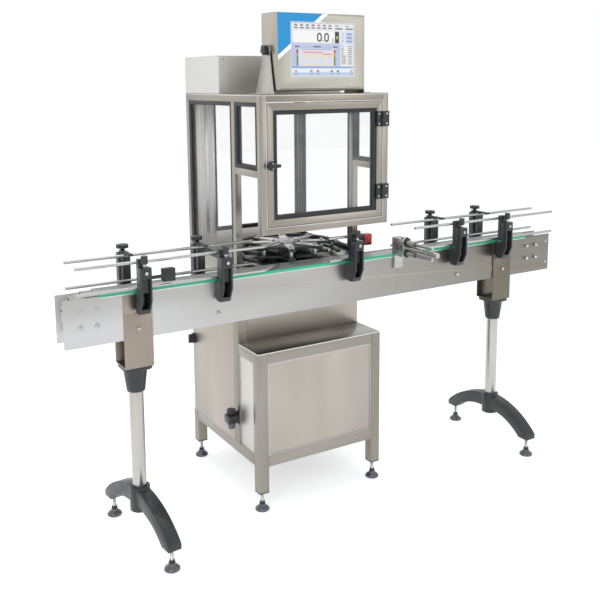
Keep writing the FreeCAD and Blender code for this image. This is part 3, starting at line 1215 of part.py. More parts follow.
def rear_clamps(spots):
    """Vertical rail clamps of the rear row, hung from flat forked bars."""
    pieces = []
    half = CLAMP_WIDTH / 2
    inner = CONVEYOR_WIDTH + RAIL_OUTSET
    bar_half = REAR_BAR_WIDTH / 2
    far = CONVEYOR_WIDTH + BRACKET_REACH
    for x in spots:
        clamp = block(x - half, x + half, inner, inner + CLAMP_DEPTH, CLAMP_BOTTOM, REAR_BAR_BOTTOM)
        for z in RAIL_LEVELS:
            clamp = clamp.cut(bar(x - half, inner, z, X_DIR, RAIL_RADIUS, CLAMP_WIDTH))
        flat = block(x - bar_half, x + bar_half, far - REAR_BAR_LENGTH, far, REAR_BAR_BOTTOM,
                     REAR_BAR_BOTTOM + REAR_BAR_DEPTH)
        stud = STUD_RADIUS + MOVE_GAP
        slot = block(x - stud, x + stud, T_KNOB_Y - stud - REAR_BAR_BACK_ROOM, far, REAR_BAR_BOTTOM,
                     REAR_BAR_BOTTOM + REAR_BAR_DEPTH)
        pieces += [clamp, flat.cut(slot)]
    return pieces


def t_knob(x):
    """Lobed clamp knob of a rear bracket with its stud."""
    knob = lobed_knob(x, T_KNOB_Y, T_KNOB_BOTTOM + T_KNOB_STEM, Z_DIR, T_KNOB_RADIUS, T_KNOB_HEIGHT,
                      T_KNOB_LOBES)
    neck = bar(x, T_KNOB_Y, T_KNOB_BOTTOM, Z_DIR, STUD_RADIUS * T_KNOB_NECK_SHARE, T_KNOB_STEM)
    length = BRACKET_HEAD / 2 + T_KNOB_BOTTOM - REAR_BRACKET_TOP
    stud = bar(x, T_KNOB_Y, T_KNOB_BOTTOM - length, Z_DIR, STUD_RADIUS, length)
    return [knob.fuse(neck).fuse(stud)]


def pusher_housing():
    """Guide block, bearing tubes and cylinder barrel of the reject pusher on its bracket plate."""
    x0 = PUSHER_X - PUSHER_WIDTH / 2
    x1 = PUSHER_X + PUSHER_WIDTH / 2
    front = PUSHER_BACK - PUSHER_BLOCK
    barrel_z = sum(PUSHER_RODS) / 2
    plate = block(x0, x1, PUSHER_BACK, 0, PUSHER_BRACKET_BOTTOM, PUSHER_LOW - SIDE_PLAY)
    plate = plate.cut(block(x0, x1, -STRIP_SKIN - MOVE_GAP, 0, PLATE_TOP - STRIP_SKIRT - MOVE_GAP, PUSHER_LOW))
    body = block(x0, x1, front, PUSHER_BACK, PUSHER_LOW, PUSHER_HIGH)
    body = body.fuse(block(x0, x1, 2 * PUSHER_BACK, PUSHER_BACK, PUSHER_BRACKET_BOTTOM, PUSHER_LOW))
    tubes = []
    for z in PUSHER_RODS:
        tube = bar(PUSHER_X, front, z, -Y_DIR, PUSHER_TUBE_RADIUS, front - PUSHER_TUBE_END)
        body = body.cut(bar(PUSHER_X, PUSHER_BACK, z, -Y_DIR, PUSHER_ROD_RADIUS + RUN_FIT, PUSHER_BLOCK))
        tubes.append(tube.cut(bar(PUSHER_X, front, z, -Y_DIR, PUSHER_ROD_RADIUS + RUN_FIT, front - PUSHER_TUBE_END)))
    bore = PISTON_RADIUS + MOVE_GAP
    body = body.cut(bar(PUSHER_X, PUSHER_BACK, barrel_z, -Y_DIR, bore, PUSHER_BLOCK))
    barrel = bar(PUSHER_X, front, barrel_z, -Y_DIR, BARREL_RADIUS, front - BARREL_END)
    barrel = barrel.cut(bar(PUSHER_X, front, barrel_z, -Y_DIR, bore, front - BARREL_END - BARREL_RADIUS))
    return [plate, body] + tubes + [barrel]


def pusher_slide():
    """Push pad with its two guide rods and the piston rod."""
    x0 = PUSHER_X - PUSHER_WIDTH / 2
    x1 = PUSHER_X + PUSHER_WIDTH / 2
    back = PUSHER_BACK + MOVE_GAP
    low = STRIP_TOP + PUSHER_PAD_RISE
    barrel_z = sum(PUSHER_RODS) / 2
    pad = block(x0, x1, back, back + PUSHER_PAD, low, PUSHER_HIGH)
    for z in PUSHER_RODS:
        pad = pad.fuse(bar(PUSHER_X, PUSHER_ROD_END, z, Y_DIR, PUSHER_ROD_RADIUS, back - PUSHER_ROD_END))
    piston_end = (PUSHER_TUBE_END + PUSHER_ROD_END) / 2
    return [pad.fuse(bar(PUSHER_X, piston_end, barrel_z, Y_DIR, PISTON_RADIUS, back - piston_end))]


def photo_sensors():
    """Infeed sensor block on its rod, and the outfeed sensor on an angle bracket behind the chain."""
    x, y, z = SENSOR_CUBE_LEFT, SENSOR_CUBE_Y, SENSOR_CUBE_Z
    half = SENSOR_CUBE / 2
    thick = SENSOR_CUBE_DEPTH / 2
    cube = block(x, x + SENSOR_CUBE, y - thick, y + thick, z - half, z + half)
    start = FRONT_BRACKETS[0] + BRACKET_WIDTH / 2
    rod_y = -BRACKET_REACH + BRACKET_STEM / 2
    rod = bar(start, rod_y + SENSOR_ROD_RADIUS, z, X_DIR, SENSOR_ROD_RADIUS, x - start)
    length, depth, height = RED_SENSOR_SIZE
    low = RED_SENSOR_BOTTOM
    body = block(RED_SENSOR_LEFT, RED_SENSOR_LEFT + length, RED_SENSOR_Y, RED_SENSOR_Y + depth, low, low + height)
    ledge_low = DECK_BOTTOM - SENSOR_STALK_DROP
    x0 = RED_SENSOR_LEFT + (length - SENSOR_STALK_WIDTH) / 2
    x1 = x0 + SENSOR_STALK_WIDTH
    back = RED_SENSOR_Y + depth
    stalk = block(x0, x1, back, back + SHEET, ledge_low, low + height)
    ledge = block(x0, x1, CONVEYOR_WIDTH, back, ledge_low, ledge_low + SHEET)
    return [cube, rod, body, stalk.fuse(ledge)]


def air_regulator():
    """Filter regulator body, bowl and fixing plate on the left side of the cabinet."""
    size = REGULATOR_SIZE
    x1 = BASE_LEFT - REGULATOR_PLATE
    body_low = REGULATOR_BOTTOM + REGULATOR_BOWL
    body_high = body_low + REGULATOR_BODY
    near = REGULATOR_Y - size / 2
    far = REGULATOR_Y + size / 2
    plate = block(x1, BASE_LEFT, near, far, body_low - REGULATOR_PLATE_DROP, body_high)
    body = block(x1 - size, x1, near, far, body_low, body_high)
    bowl = Part.makeCone(size * REGULATOR_BOWL_LOW_SHARE, size * REGULATOR_BOWL_TOP_SHARE, REGULATOR_BOWL,
                         VEC(x1 - size / 2, REGULATOR_Y, REGULATOR_BOTTOM))
    return [plate, body, bowl]


def regulator_knob():
    """Pressure knob on top of the regulator body."""
    x = BASE_LEFT - REGULATOR_PLATE - REGULATOR_SIZE / 2
    low = REGULATOR_BOTTOM + REGULATOR_BOWL + REGULATOR_BODY + MOVE_GAP
    radius = REGULATOR_SIZE * REGULATOR_KNOB_SHARE
    return [lobed_knob(x, REGULATOR_Y, low, Z_DIR, radius, REGULATOR_KNOB_HEIGHT, REGULATOR_KNOB_LOBES)]


def main_switch():
    """Fixed collar of the rotary main switch on the rear left post."""
    return [bar(BASE_LEFT, SWITCH_Y, SWITCH_Z, -X_DIR, SWITCH_RADIUS, SWITCH_DEPTH)]


def switch_knob():
    """Rotary handle with its raised grip bar."""
    seat = BASE_LEFT - SWITCH_DEPTH - MOVE_GAP
    disc = bar(seat, SWITCH_Y, SWITCH_Z, -X_DIR, SWITCH_RADIUS * SWITCH_DISC_SHARE, SWITCH_DEPTH)
    reach = SWITCH_RADIUS * SWITCH_GRIP_SHARE
    half = SWITCH_GRIP_WIDTH / 2
    grip = block(seat - SWITCH_GRIP_REACH, seat - SWITCH_DEPTH, SWITCH_Y - half, SWITCH_Y + half, SWITCH_Z - reach,
                 SWITCH_Z + reach)
    return [disc.fuse(grip)]


def hinge_leaves(side):
    """Hinge leaves of one side at both levels."""
    return [piece for z in HINGE_LEVELS for piece in hinge_leaf(z, side)]


def centre_guide():
    """Short rail pair beside the star wheel with its clamp and cross rod."""
    rails = straight_rails(CENTRE_RAIL_START, CENTRE_RAIL_START + CENTRE_RAIL_LENGTH, -RAIL_OUTSET)
    return rails + front_clamps(FRONT_BRACKETS[2:3])


def nodes():
    """Every node by name with its solids."""
    seals, panes = window_glazing()
    door_ring, door_glass = door_glazing()
    rear_y = CONVEYOR_WIDTH + RAIL_OUTSET
    parts = {
        "conveyor_side_plates": side_plates(),
        "wear_strips": wear_strips(),
        "chain_slats": chain_slats(),
        "idler_sprocket": sprocket(IDLER_X, CONVEYOR_WIDTH - PLATE_WALL - MOVE_GAP,
                                   crest_angle(2 * CHAIN_SPAN + math.pi * PITCH_RADIUS, math.pi)),
        "drive_sprocket": sprocket(DRIVE_X, CONVEYOR_WIDTH + DRIVE_BLOCK / 2, crest_angle(CHAIN_SPAN, 0)),
        "end_bearings": end_bearings(),
        "conveyor_fasteners": conveyor_fasteners(),
        "drive_motors": drive_motors(),
        "leg_channels": leg_channels(),
        "leg_collars": leg_collars(),
        "leg_tubes": leg_tubes(),
        "bipod_left": bipod(LEG_SPOTS[0], BIPOD_TURN),
        "bipod_right": bipod(LEG_SPOTS[1], 0),
        "bipod_feet_left": bipod_feet(LEG_SPOTS[0], BIPOD_TURN),
        "bipod_feet_right": bipod_feet(LEG_SPOTS[1], 0),
        "base_frame": base_frame(),
        "base_panels": base_panels(),
        "base_feet": base_feet(),
        "cover_plates": cover_plates(),
        "weigh_platform": weigh_platform(),
        "star_discs": star_discs(),
        "star_hub": star_hub(),
        "outer_guide": outer_guide(),
        "upper_frame": upper_frame(),
        "window_seals": seals,
        "window_panes": panes,
        "cable_duct": cable_duct(),
        "control_box": control_box(),
        "door_frame": door_frame(),
        "door_seal": [door_ring],
        "door_pane": [door_glass],
        "door_hinge_leaves": hinge_leaves(-1),
        "frame_hinge_leaves": hinge_leaves(1),
        "door_handle": door_handle(),
        "terminal_case": terminal_case(),
        "terminal_screen": terminal_screen(),
        "terminal_bracket": terminal_bracket(),
        "tilt_knob_left": tilt_knob(-1),
        "tilt_knob_right": tilt_knob(1),
        "guide_brackets": guide_brackets(),
        "rails_infeed_front": bent_rails(FRONT_INFEED_START, INFEED_BEND_START, -RAIL_OUTSET),
        "rails_infeed_rear": straight_rails(FRONT_INFEED_START, REAR_INFEED_END, rear_y),
        "rails_outfeed_front": straight_rails(FRONT_OUTFEED_START, OUTFEED_END, -RAIL_OUTSET),
        "rails_outfeed_rear": straight_rails(REAR_OUTFEED_START, OUTFEED_END, rear_y),
        "clamps_infeed_front": front_clamps(FRONT_BRACKETS[:2]),
        "clamps_infeed_rear": rear_clamps(REAR_BRACKETS[:2]),
        "clamps_outfeed_front": front_clamps(FRONT_BRACKETS[3:]),
        "clamps_outfeed_rear": rear_clamps(REAR_BRACKETS[2:]),
        "centre_guide": centre_guide(),
        "pusher_housing": pusher_housing(),
        "pusher_slide": pusher_slide(),
        "photo_sensors": photo_sensors(),
        "air_regulator": air_regulator(),
        "regulator_knob": regulator_knob(),
        "main_switch": main_switch(),
        "switch_knob": switch_knob(),
    }
    for k, x in enumerate(REAR_BRACKETS):
        parts["guide_knob_%d" % (k + 1)] = t_knob(x)
    return parts


def export_nodes():
    """Writes one STEP file per node, with the origin under the middle of the whole machine."""
    os.makedirs("parts", exist_ok=True)
    for name, solids in nodes().items():
        shape = solids[0] if len(solids) == 1 else Part.makeCompound(solids)
        shape.translate(VEC(0, -Y_CENTRE, 0))
        shape.exportStep("parts/%s.step" % name)
        print("%-24s %3d solids %4d faces" % (name, len(shape.Solids), len(shape.Faces)))


if __name__ == "__main__":
    export_nodes()
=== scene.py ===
import json
import logging
import math
from collections.abc import Callable, Sequence
from dataclasses import dataclass, field
from enum import Enum
from typing import Any

import bmesh
import bpy
from mathutils import Matrix, Vector

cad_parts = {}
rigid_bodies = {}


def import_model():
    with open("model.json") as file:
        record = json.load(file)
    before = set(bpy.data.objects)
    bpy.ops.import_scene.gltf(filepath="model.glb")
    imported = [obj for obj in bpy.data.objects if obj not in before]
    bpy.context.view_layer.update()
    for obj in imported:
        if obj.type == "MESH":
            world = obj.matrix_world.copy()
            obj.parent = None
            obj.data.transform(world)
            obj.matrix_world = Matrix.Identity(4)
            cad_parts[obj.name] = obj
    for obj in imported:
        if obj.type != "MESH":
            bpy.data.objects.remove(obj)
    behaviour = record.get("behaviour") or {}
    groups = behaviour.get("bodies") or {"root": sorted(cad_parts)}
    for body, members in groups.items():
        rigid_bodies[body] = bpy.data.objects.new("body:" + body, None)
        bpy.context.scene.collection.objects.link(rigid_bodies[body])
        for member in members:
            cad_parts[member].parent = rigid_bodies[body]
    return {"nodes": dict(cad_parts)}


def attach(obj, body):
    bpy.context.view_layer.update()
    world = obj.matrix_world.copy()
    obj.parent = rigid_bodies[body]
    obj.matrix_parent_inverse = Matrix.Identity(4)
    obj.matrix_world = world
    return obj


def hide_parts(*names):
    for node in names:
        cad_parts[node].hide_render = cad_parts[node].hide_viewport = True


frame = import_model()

LOG = logging.getLogger("checkweigher")
MM = 0.001
Point = Sequence[float]


class Axis(Enum):
    """Direction of a polished grain or of a turned part."""

    X = 0
    Y = 1
    Z = 2


def linear(hex_colour: str) -> tuple[float, float, float, float]:
    """Turn an sRGB hex colour into linear RGBA.

    Args:
        hex_colour: six hex digits after a hash sign.

    Returns:
        The four linear channels, alpha 1.
    """
    channels = [int(hex_colour[i:i + 2], 16) / 255 for i in (1, 3, 5)]
    red, green, blue = (c / 12.92 if c <= 0.04045 else ((c + 0.055) / 1.055) ** 2.4 for c in channels)
    return red, green, blue, 1.0


def add_node(tree: bpy.types.NodeTree, kind: str, settings: dict[str, Any] | None = None,
             **inputs: Any) -> bpy.types.Node:
    """Add a node, set its properties and fill or link its inputs.

    Args:
        tree: tree that takes the node.
        kind: node type name.
        settings: properties of the node itself.
        inputs: socket values by name, underscores for spaces, or by number as i0, i1; an output socket is linked.

    Returns:
        The new node.
    """
    node = tree.nodes.new(kind)
    for key, value in (settings or {}).items():
        setattr(node, key, value)
    for key, value in inputs.items():
        numbered = key[0] == "i" and key[1:].isdigit()
        socket = node.inputs[int(key[1:])] if numbered else node.inputs[key.replace("_", " ")]
        if isinstance(value, bpy.types.NodeSocket):
            tree.links.new(value, socket)
        else:
            socket.default_value = value
    return node


@dataclass(frozen=True)
class Finish:
    """Base of every finish: a named material built once and shared.

    Attributes:
        name: material name, after the real material and its process.
        tint: main colour as hex.
        roughness: middle roughness of the surface.
    """

    name: str
    tint: str
    roughness: float

    def material(self) -> bpy.types.Material:
        """Return the finished material, building it on first use."""
        found = bpy.data.materials.get(self.name)
        if found:
            return found
        material = bpy.data.materials.new(self.name)
        material.use_nodes = True
        tree = material.node_tree
        tree.nodes.clear()
        shader = add_node(tree, "ShaderNodeBsdfPrincipled")
        output = add_node(tree, "ShaderNodeOutputMaterial")
        tree.links.new(shader.outputs["BSDF"], output.inputs["Surface"])
        coordinates = add_node(tree, "ShaderNodeTexCoord").outputs["Object"]
        self.compose(tree, shader, coordinates)
        return material

    def compose(self, tree: bpy.types.NodeTree, shader: bpy.types.Node, place: bpy.types.NodeSocket) -> None:
        """Fill the tree; each finish has its own way.

        Args:
            tree: tree of the material.
            shader: its principled shader.
            place: object coordinates in metres.
        """
        raise NotImplementedError

    def noise(self, tree: bpy.types.NodeTree, place: bpy.types.NodeSocket, grain: Point, detail: float = 2.0,
              ) -> bpy.types.NodeSocket:
        """Noise whose blobs have the given size on each axis.

        Args:
            tree: tree that takes the nodes.
            place: object coordinates in metres.
            grain: blob size in millimetres along x, y and z.
            detail: octaves of the noise.

        Returns:
            The noise value between 0 and 1.
        """
        scales = [1 / (size * MM) for size in grain]
        mapping = add_node(tree, "ShaderNodeMapping", Vector=place, Scale=scales)
        return add_node(tree, "ShaderNodeTexNoise", Vector=mapping.outputs["Vector"], Scale=1.0,
                        Detail=detail).outputs["Fac"]

    def spread(self, tree: bpy.types.NodeTree, value: bpy.types.NodeSocket, low: float, high: float,
               ) -> bpy.types.NodeSocket:
        """Map a value from the noise range onto low..high.

        Args:
            tree: tree that takes the node.
            value: value to map.
            low: result at 0.3.
            high: result at 0.7.

        Returns:
            The mapped value.
        """
        return add_node(tree, "ShaderNodeMapRange", Value=value, From_Min=0.3, From_Max=0.7, To_Min=low,
                        To_Max=high).outputs["Result"]

    def blend(self, tree: bpy.types.NodeTree, factor: bpy.types.NodeSocket, first: Any, second: Any,
              ) -> bpy.types.NodeSocket:
        """Mix two colours by a factor and return the colour."""
        node = add_node(tree, "ShaderNodeMix", {"data_type": "RGBA"}, i0=factor, i6=first, i7=second)
        return node.outputs[2]


@dataclass(frozen=True)
class BrushedSteel(Finish):
    """Stainless sheet and tube polished with a belt: long fine scratches and slow bands of brightness, with
    optional painted shade that darkens a long plate along X.

    Attributes:
        axis: way the belt ran.
        shade: darker colour of the slow bands.
        painted_shade_tint: painted shade colour at the +X end of a long plate, where less light falls, or empty.
        painted_shade_span: start and end of that painted shade along X, in millimetres.
        bump: height of the scratches.
    """

    axis: Axis = Axis.X
    shade: str = "#9a948b"
    painted_shade_tint: str = ""
    painted_shade_span: tuple[float, float] = (0.0, 1.0)
    bump: float = 0.08

    def compose(self, tree: bpy.types.NodeTree, shader: bpy.types.Node, place: bpy.types.NodeSocket) -> None:
        """Scratches stretched along the axis over slow bands."""
        scratch = [0.7, 0.7, 0.7]
        scratch[self.axis.value] = 60.0
        band = [160.0, 160.0, 160.0]
        band[self.axis.value] = 700.0
        fine = self.noise(tree, place, scratch, 3.0)
        slow = self.noise(tree, place, band, 1.0)
        # the slow bands give the uneven sheen of hand-finished sheet
        colour = self.blend(tree, self.spread(tree, slow, 0.0, 0.8), linear(self.tint), linear(self.shade))
        # painted shade: the colour darkens towards +X, standing in for the light falling off along the plate
        if self.painted_shade_tint:
            apart = add_node(tree, "ShaderNodeSeparateXYZ", Vector=place).outputs["X"]
            along = add_node(tree, "ShaderNodeMapRange", Value=apart, From_Min=self.painted_shade_span[0] * MM,
                             From_Max=self.painted_shade_span[1] * MM).outputs["Result"]
            colour = self.blend(tree, along, colour, linear(self.painted_shade_tint))
        # the scratches lighten and darken the metal by a few percent
        dark = [channel * 0.86 for channel in linear(self.tint)[:3]] + [1.0]
        colour = self.blend(tree, self.spread(tree, fine, 0.0, 0.3), colour, dark)
        tree.links.new(colour, shader.inputs["Base Color"])
        tree.links.new(self.spread(tree, fine, self.roughness - 0.06, self.roughness + 0.06),
                       shader.inputs["Roughness"])
        shader.inputs["Metallic"].default_value = 1.0
        relief = add_node(tree, "ShaderNodeBump", Strength=self.bump, Distance=0.0002, Height=fine)
        tree.links.new(relief.outputs["Normal"], shader.inputs["Normal"])


@dataclass(frozen=True)
class TurnedSteel(Finish):
    """Bright drawn or turned steel: smooth, with faint uneven polish."""

    def compose(self, tree: bpy.types.NodeTree, shader: bpy.types.Node, place: bpy.types.NodeSocket) -> None:
        """Cloudy polish on a bright metal."""
        cloud = self.noise(tree, place, (9.0, 9.0, 9.0), 3.0)
        # small clouds keep long rods from looking like chrome plastic
        dull = [channel * 0.72 for channel in linear(self.tint)[:3]] + [1.0]
        colour = self.blend(tree, self.spread(tree, cloud, 0.0, 0.6), linear(self.tint), dull)
        tree.links.new(colour, shader.inputs["Base Color"])
        tree.links.new(self.spread(tree, cloud, self.roughness - 0.05, self.roughness + 0.08),
                       shader.inputs["Roughness"])
        shader.inputs["Metallic"].default_value = 1.0


@dataclass(frozen=True)
class MouldedPlastic(Finish):
    """Injection-moulded or machined plastic and rubber with a fine skin.

    Attributes:
        wear: lighter colour where hands and bottles rub.
        grain: size of the skin's grain in millimetres.
        coat: share of a smooth glossy skin.
    """

    wear: str = "#555b60"
    grain: float = 0.9
    coat: float = 0.0

    def compose(self, tree: bpy.types.NodeTree, shader: bpy.types.Node, place: bpy.types.NodeSocket) -> None:
        """Pebbled skin with slow wear patches."""
        skin = self.noise(tree, place, (self.grain,) * 3, 2.0)
        patch = self.noise(tree, place, (38.0, 38.0, 38.0), 3.0)
        # wear patches break up the dark moulding the way dust and touch do
        colour = self.blend(tree, self.spread(tree, patch, 0.0, 0.45), linear(self.tint), linear(self.wear))
        tree.links.new(colour, shader.inputs["Base Color"])
        tree.links.new(self.spread(tree, patch, self.roughness - 0.07, self.roughness + 0.09),
                       shader.inputs["Roughness"])
        shader.inputs["Coat Weight"].default_value = self.coat
        shader.inputs["Coat Roughness"].default_value = 0.12
        relief = add_node(tree, "ShaderNodeBump", Strength=0.12, Distance=0.0003, Height=skin)
        tree.links.new(relief.outputs["Normal"], shader.inputs["Normal"])


@dataclass(frozen=True)
class ClearSheet(Finish):
    """Cast clear sheet: nearly invisible, with faint wiping haze.

    Attributes:
        haze: cover of the surface where it was wiped.
    """

    haze: float = 0.1

    def compose(self, tree: bpy.types.NodeTree, shader: bpy.types.Node, place: bpy.types.NodeSocket) -> None:
        """Thin cover with cloudy haze."""
        wiped = self.noise(tree, place, (90.0, 90.0, 60.0), 3.0)
        shader.inputs["Base Color"].default_value = linear(self.tint)
        shader.inputs["Roughness"].default_value = self.roughness
        # the haze shows the sheet only where it was wiped
        tree.links.new(self.spread(tree, wiped, self.haze * 0.5, self.haze), shader.inputs["Alpha"])


@dataclass(frozen=True)
class LitPixels(Finish):
    """Part of a lit display: colour broken into a fine pixel grid.

    Attributes:
        strength: brightness of the light.
    """

    strength: float = 0.9

    def compose(self, tree: bpy.types.NodeTree, shader: bpy.types.Node, place: bpy.types.NodeSocket) -> None:
        """Checker of lit and slightly dimmer cells."""
        dim = [channel * 0.88 for channel in linear(self.tint)[:3]] + [1.0]
        # cells of half a millimetre give the display its fine mesh up close
        cells = add_node(tree, "ShaderNodeTexChecker", Vector=place, Scale=2000.0, Color1=linear(self.tint),
                         Color2=dim)
        tree.links.new(cells.outputs["Color"], shader.inputs["Emission Color"])
        shader.inputs["Emission Strength"].default_value = self.strength
        shader.inputs["Base Color"].default_value = (0.01, 0.01, 0.01, 1.0)
        shader.inputs["Roughness"].default_value = self.roughness


# side plate steel with painted shade: darker towards the outfeed end (+X)
PLATE = BrushedSteel("stainless_304_belt_polished_plate", "#c2c2c2", 0.34, Axis.X, "#adaba8", "#7d786d",
                     (-700.0, 700.0))
STEEL_X = BrushedSteel("stainless_304_belt_polished_x", "#a09b93", 0.34, Axis.X, "#878178")
STEEL_Y = BrushedSteel("stainless_304_belt_polished_y", "#a39e96", 0.34, Axis.Y, "#8a847b")
STEEL_Z = BrushedSteel("stainless_304_belt_polished_z", "#9c978f", 0.34, Axis.Z, "#847e75")
COOL_Z = BrushedSteel("stainless_304_belt_polished_cool", "#b3b1ad", 0.33, Axis.Z, "#9d9a94")
# leg plate steel with painted shade: darker towards +X
LEG_PLATE = BrushedSteel("stainless_304_ground_leg_plate", "#9b9187", 0.36, Axis.Z, "#8b8278", "#6f6a60",
                         (-700.0, 700.0))
DUCT = BrushedSteel("stainless_304_folded_duct", "#e6e2de", 0.56, Axis.Z, "#d4cecd")
PANEL = BrushedSteel("stainless_304_fine_ground_panel", "#b7b0a8", 0.42, Axis.Z, "#a9a198")
BOX_SHEET = BrushedSteel("stainless_304_fine_ground_box", "#cfcfcc", 0.48, Axis.X, "#c6c6c2")
# paler copy of PANEL: painted light on the step's left-facing panel, lit from the left
LIT_SIDE_PANEL = BrushedSteel("stainless_304_fine_ground_pale_panel", "#d3d2ce", 0.45, Axis.Z, "#c6c4bf")
SHEET = BrushedSteel("stainless_304_cold_rolled_sheet", "#a7a8a2", 0.3, Axis.X, "#8f908a")
PIPE = BrushedSteel("stainless_304_polished_pipe", "#c9c6c1", 0.26, Axis.Z, "#a9a49d")
CASE = BrushedSteel("stainless_304_satin_case", "#aaa89f", 0.38, Axis.X, "#a09d93")
BRIGHT = TurnedSteel("stainless_303_turned_bright", "#babab9", 0.3)
# pale steel for the star hub's sector plates, and painted highlight strips along edges and folds that catch the
# light
PALE_STEEL_AND_HIGHLIGHT = TurnedSteel("stainless_304_sheared_bright_edge", "#e4e2de", 0.35)
ZINC = TurnedSteel("steel_zinc_plated_hardware", "#c7cbcf", 0.3)
# dark colour for the scale marks, and painted shade in gaps, seams and grooves
DARK_MARK_AND_GAP_SHADE = TurnedSteel("steel_blackened_gap", "#3c3a38", 0.5)
POLYAMIDE = MouldedPlastic("polyamide_glass_filled_moulded", "#1a1e23", 0.42, "#262b31", 0.8, 0.2)
STAR_PLASTIC = MouldedPlastic("polyamide_machined_dark", "#1e2124", 0.42, "#34383c", 1.2, 0.1)
FOOT = MouldedPlastic("polyamide_foot_glossy_grey", "#454a51", 0.28, "#5d636a", 1.0, 0.6)
BLACK_PLUG = MouldedPlastic("polyethylene_plug_black", "#111214", 0.45, "#1f2123", 0.9, 0.1)
RUBBER = MouldedPlastic("epdm_seal_extruded_black", "#141417", 0.5, "#232326", 1.4, 0.0)
GREEN = MouldedPlastic("uhmw_polyethylene_green_strip", "#2cb386", 0.4, "#45c498", 1.6, 0.1)
PALE_STRIP = MouldedPlastic("uhmw_polyethylene_natural_strip", "#a9abaa", 0.4, "#bbbdbb", 1.6, 0.1)
ACETAL = MouldedPlastic("acetal_chain_slat_light_grey", "#a8aaa9", 0.38, "#c2c3c1", 1.0, 0.1)
RED = MouldedPlastic("abs_sensor_face_red", "#c02a1c", 0.35, "#d84a38", 1.0, 0.3)
PAINT = MouldedPlastic("motor_enamel_sprayed_grey", "#4a5057", 0.36, "#5e646b", 0.7, 0.3)
BLUE = MouldedPlastic("polyester_film_printed_blue", "#008ac8", 0.4, "#0690cd", 0.5, 0.0)
WHITE_FILM = MouldedPlastic("polyester_film_printed_white", "#f4f6f8", 0.35, "#ffffff", 0.5, 0.1)
CLEAR = ClearSheet("polycarbonate_cast_clear", "#eef4f4", 0.08, 0.07)


Pick = Callable[[Vector, Vector], Finish]


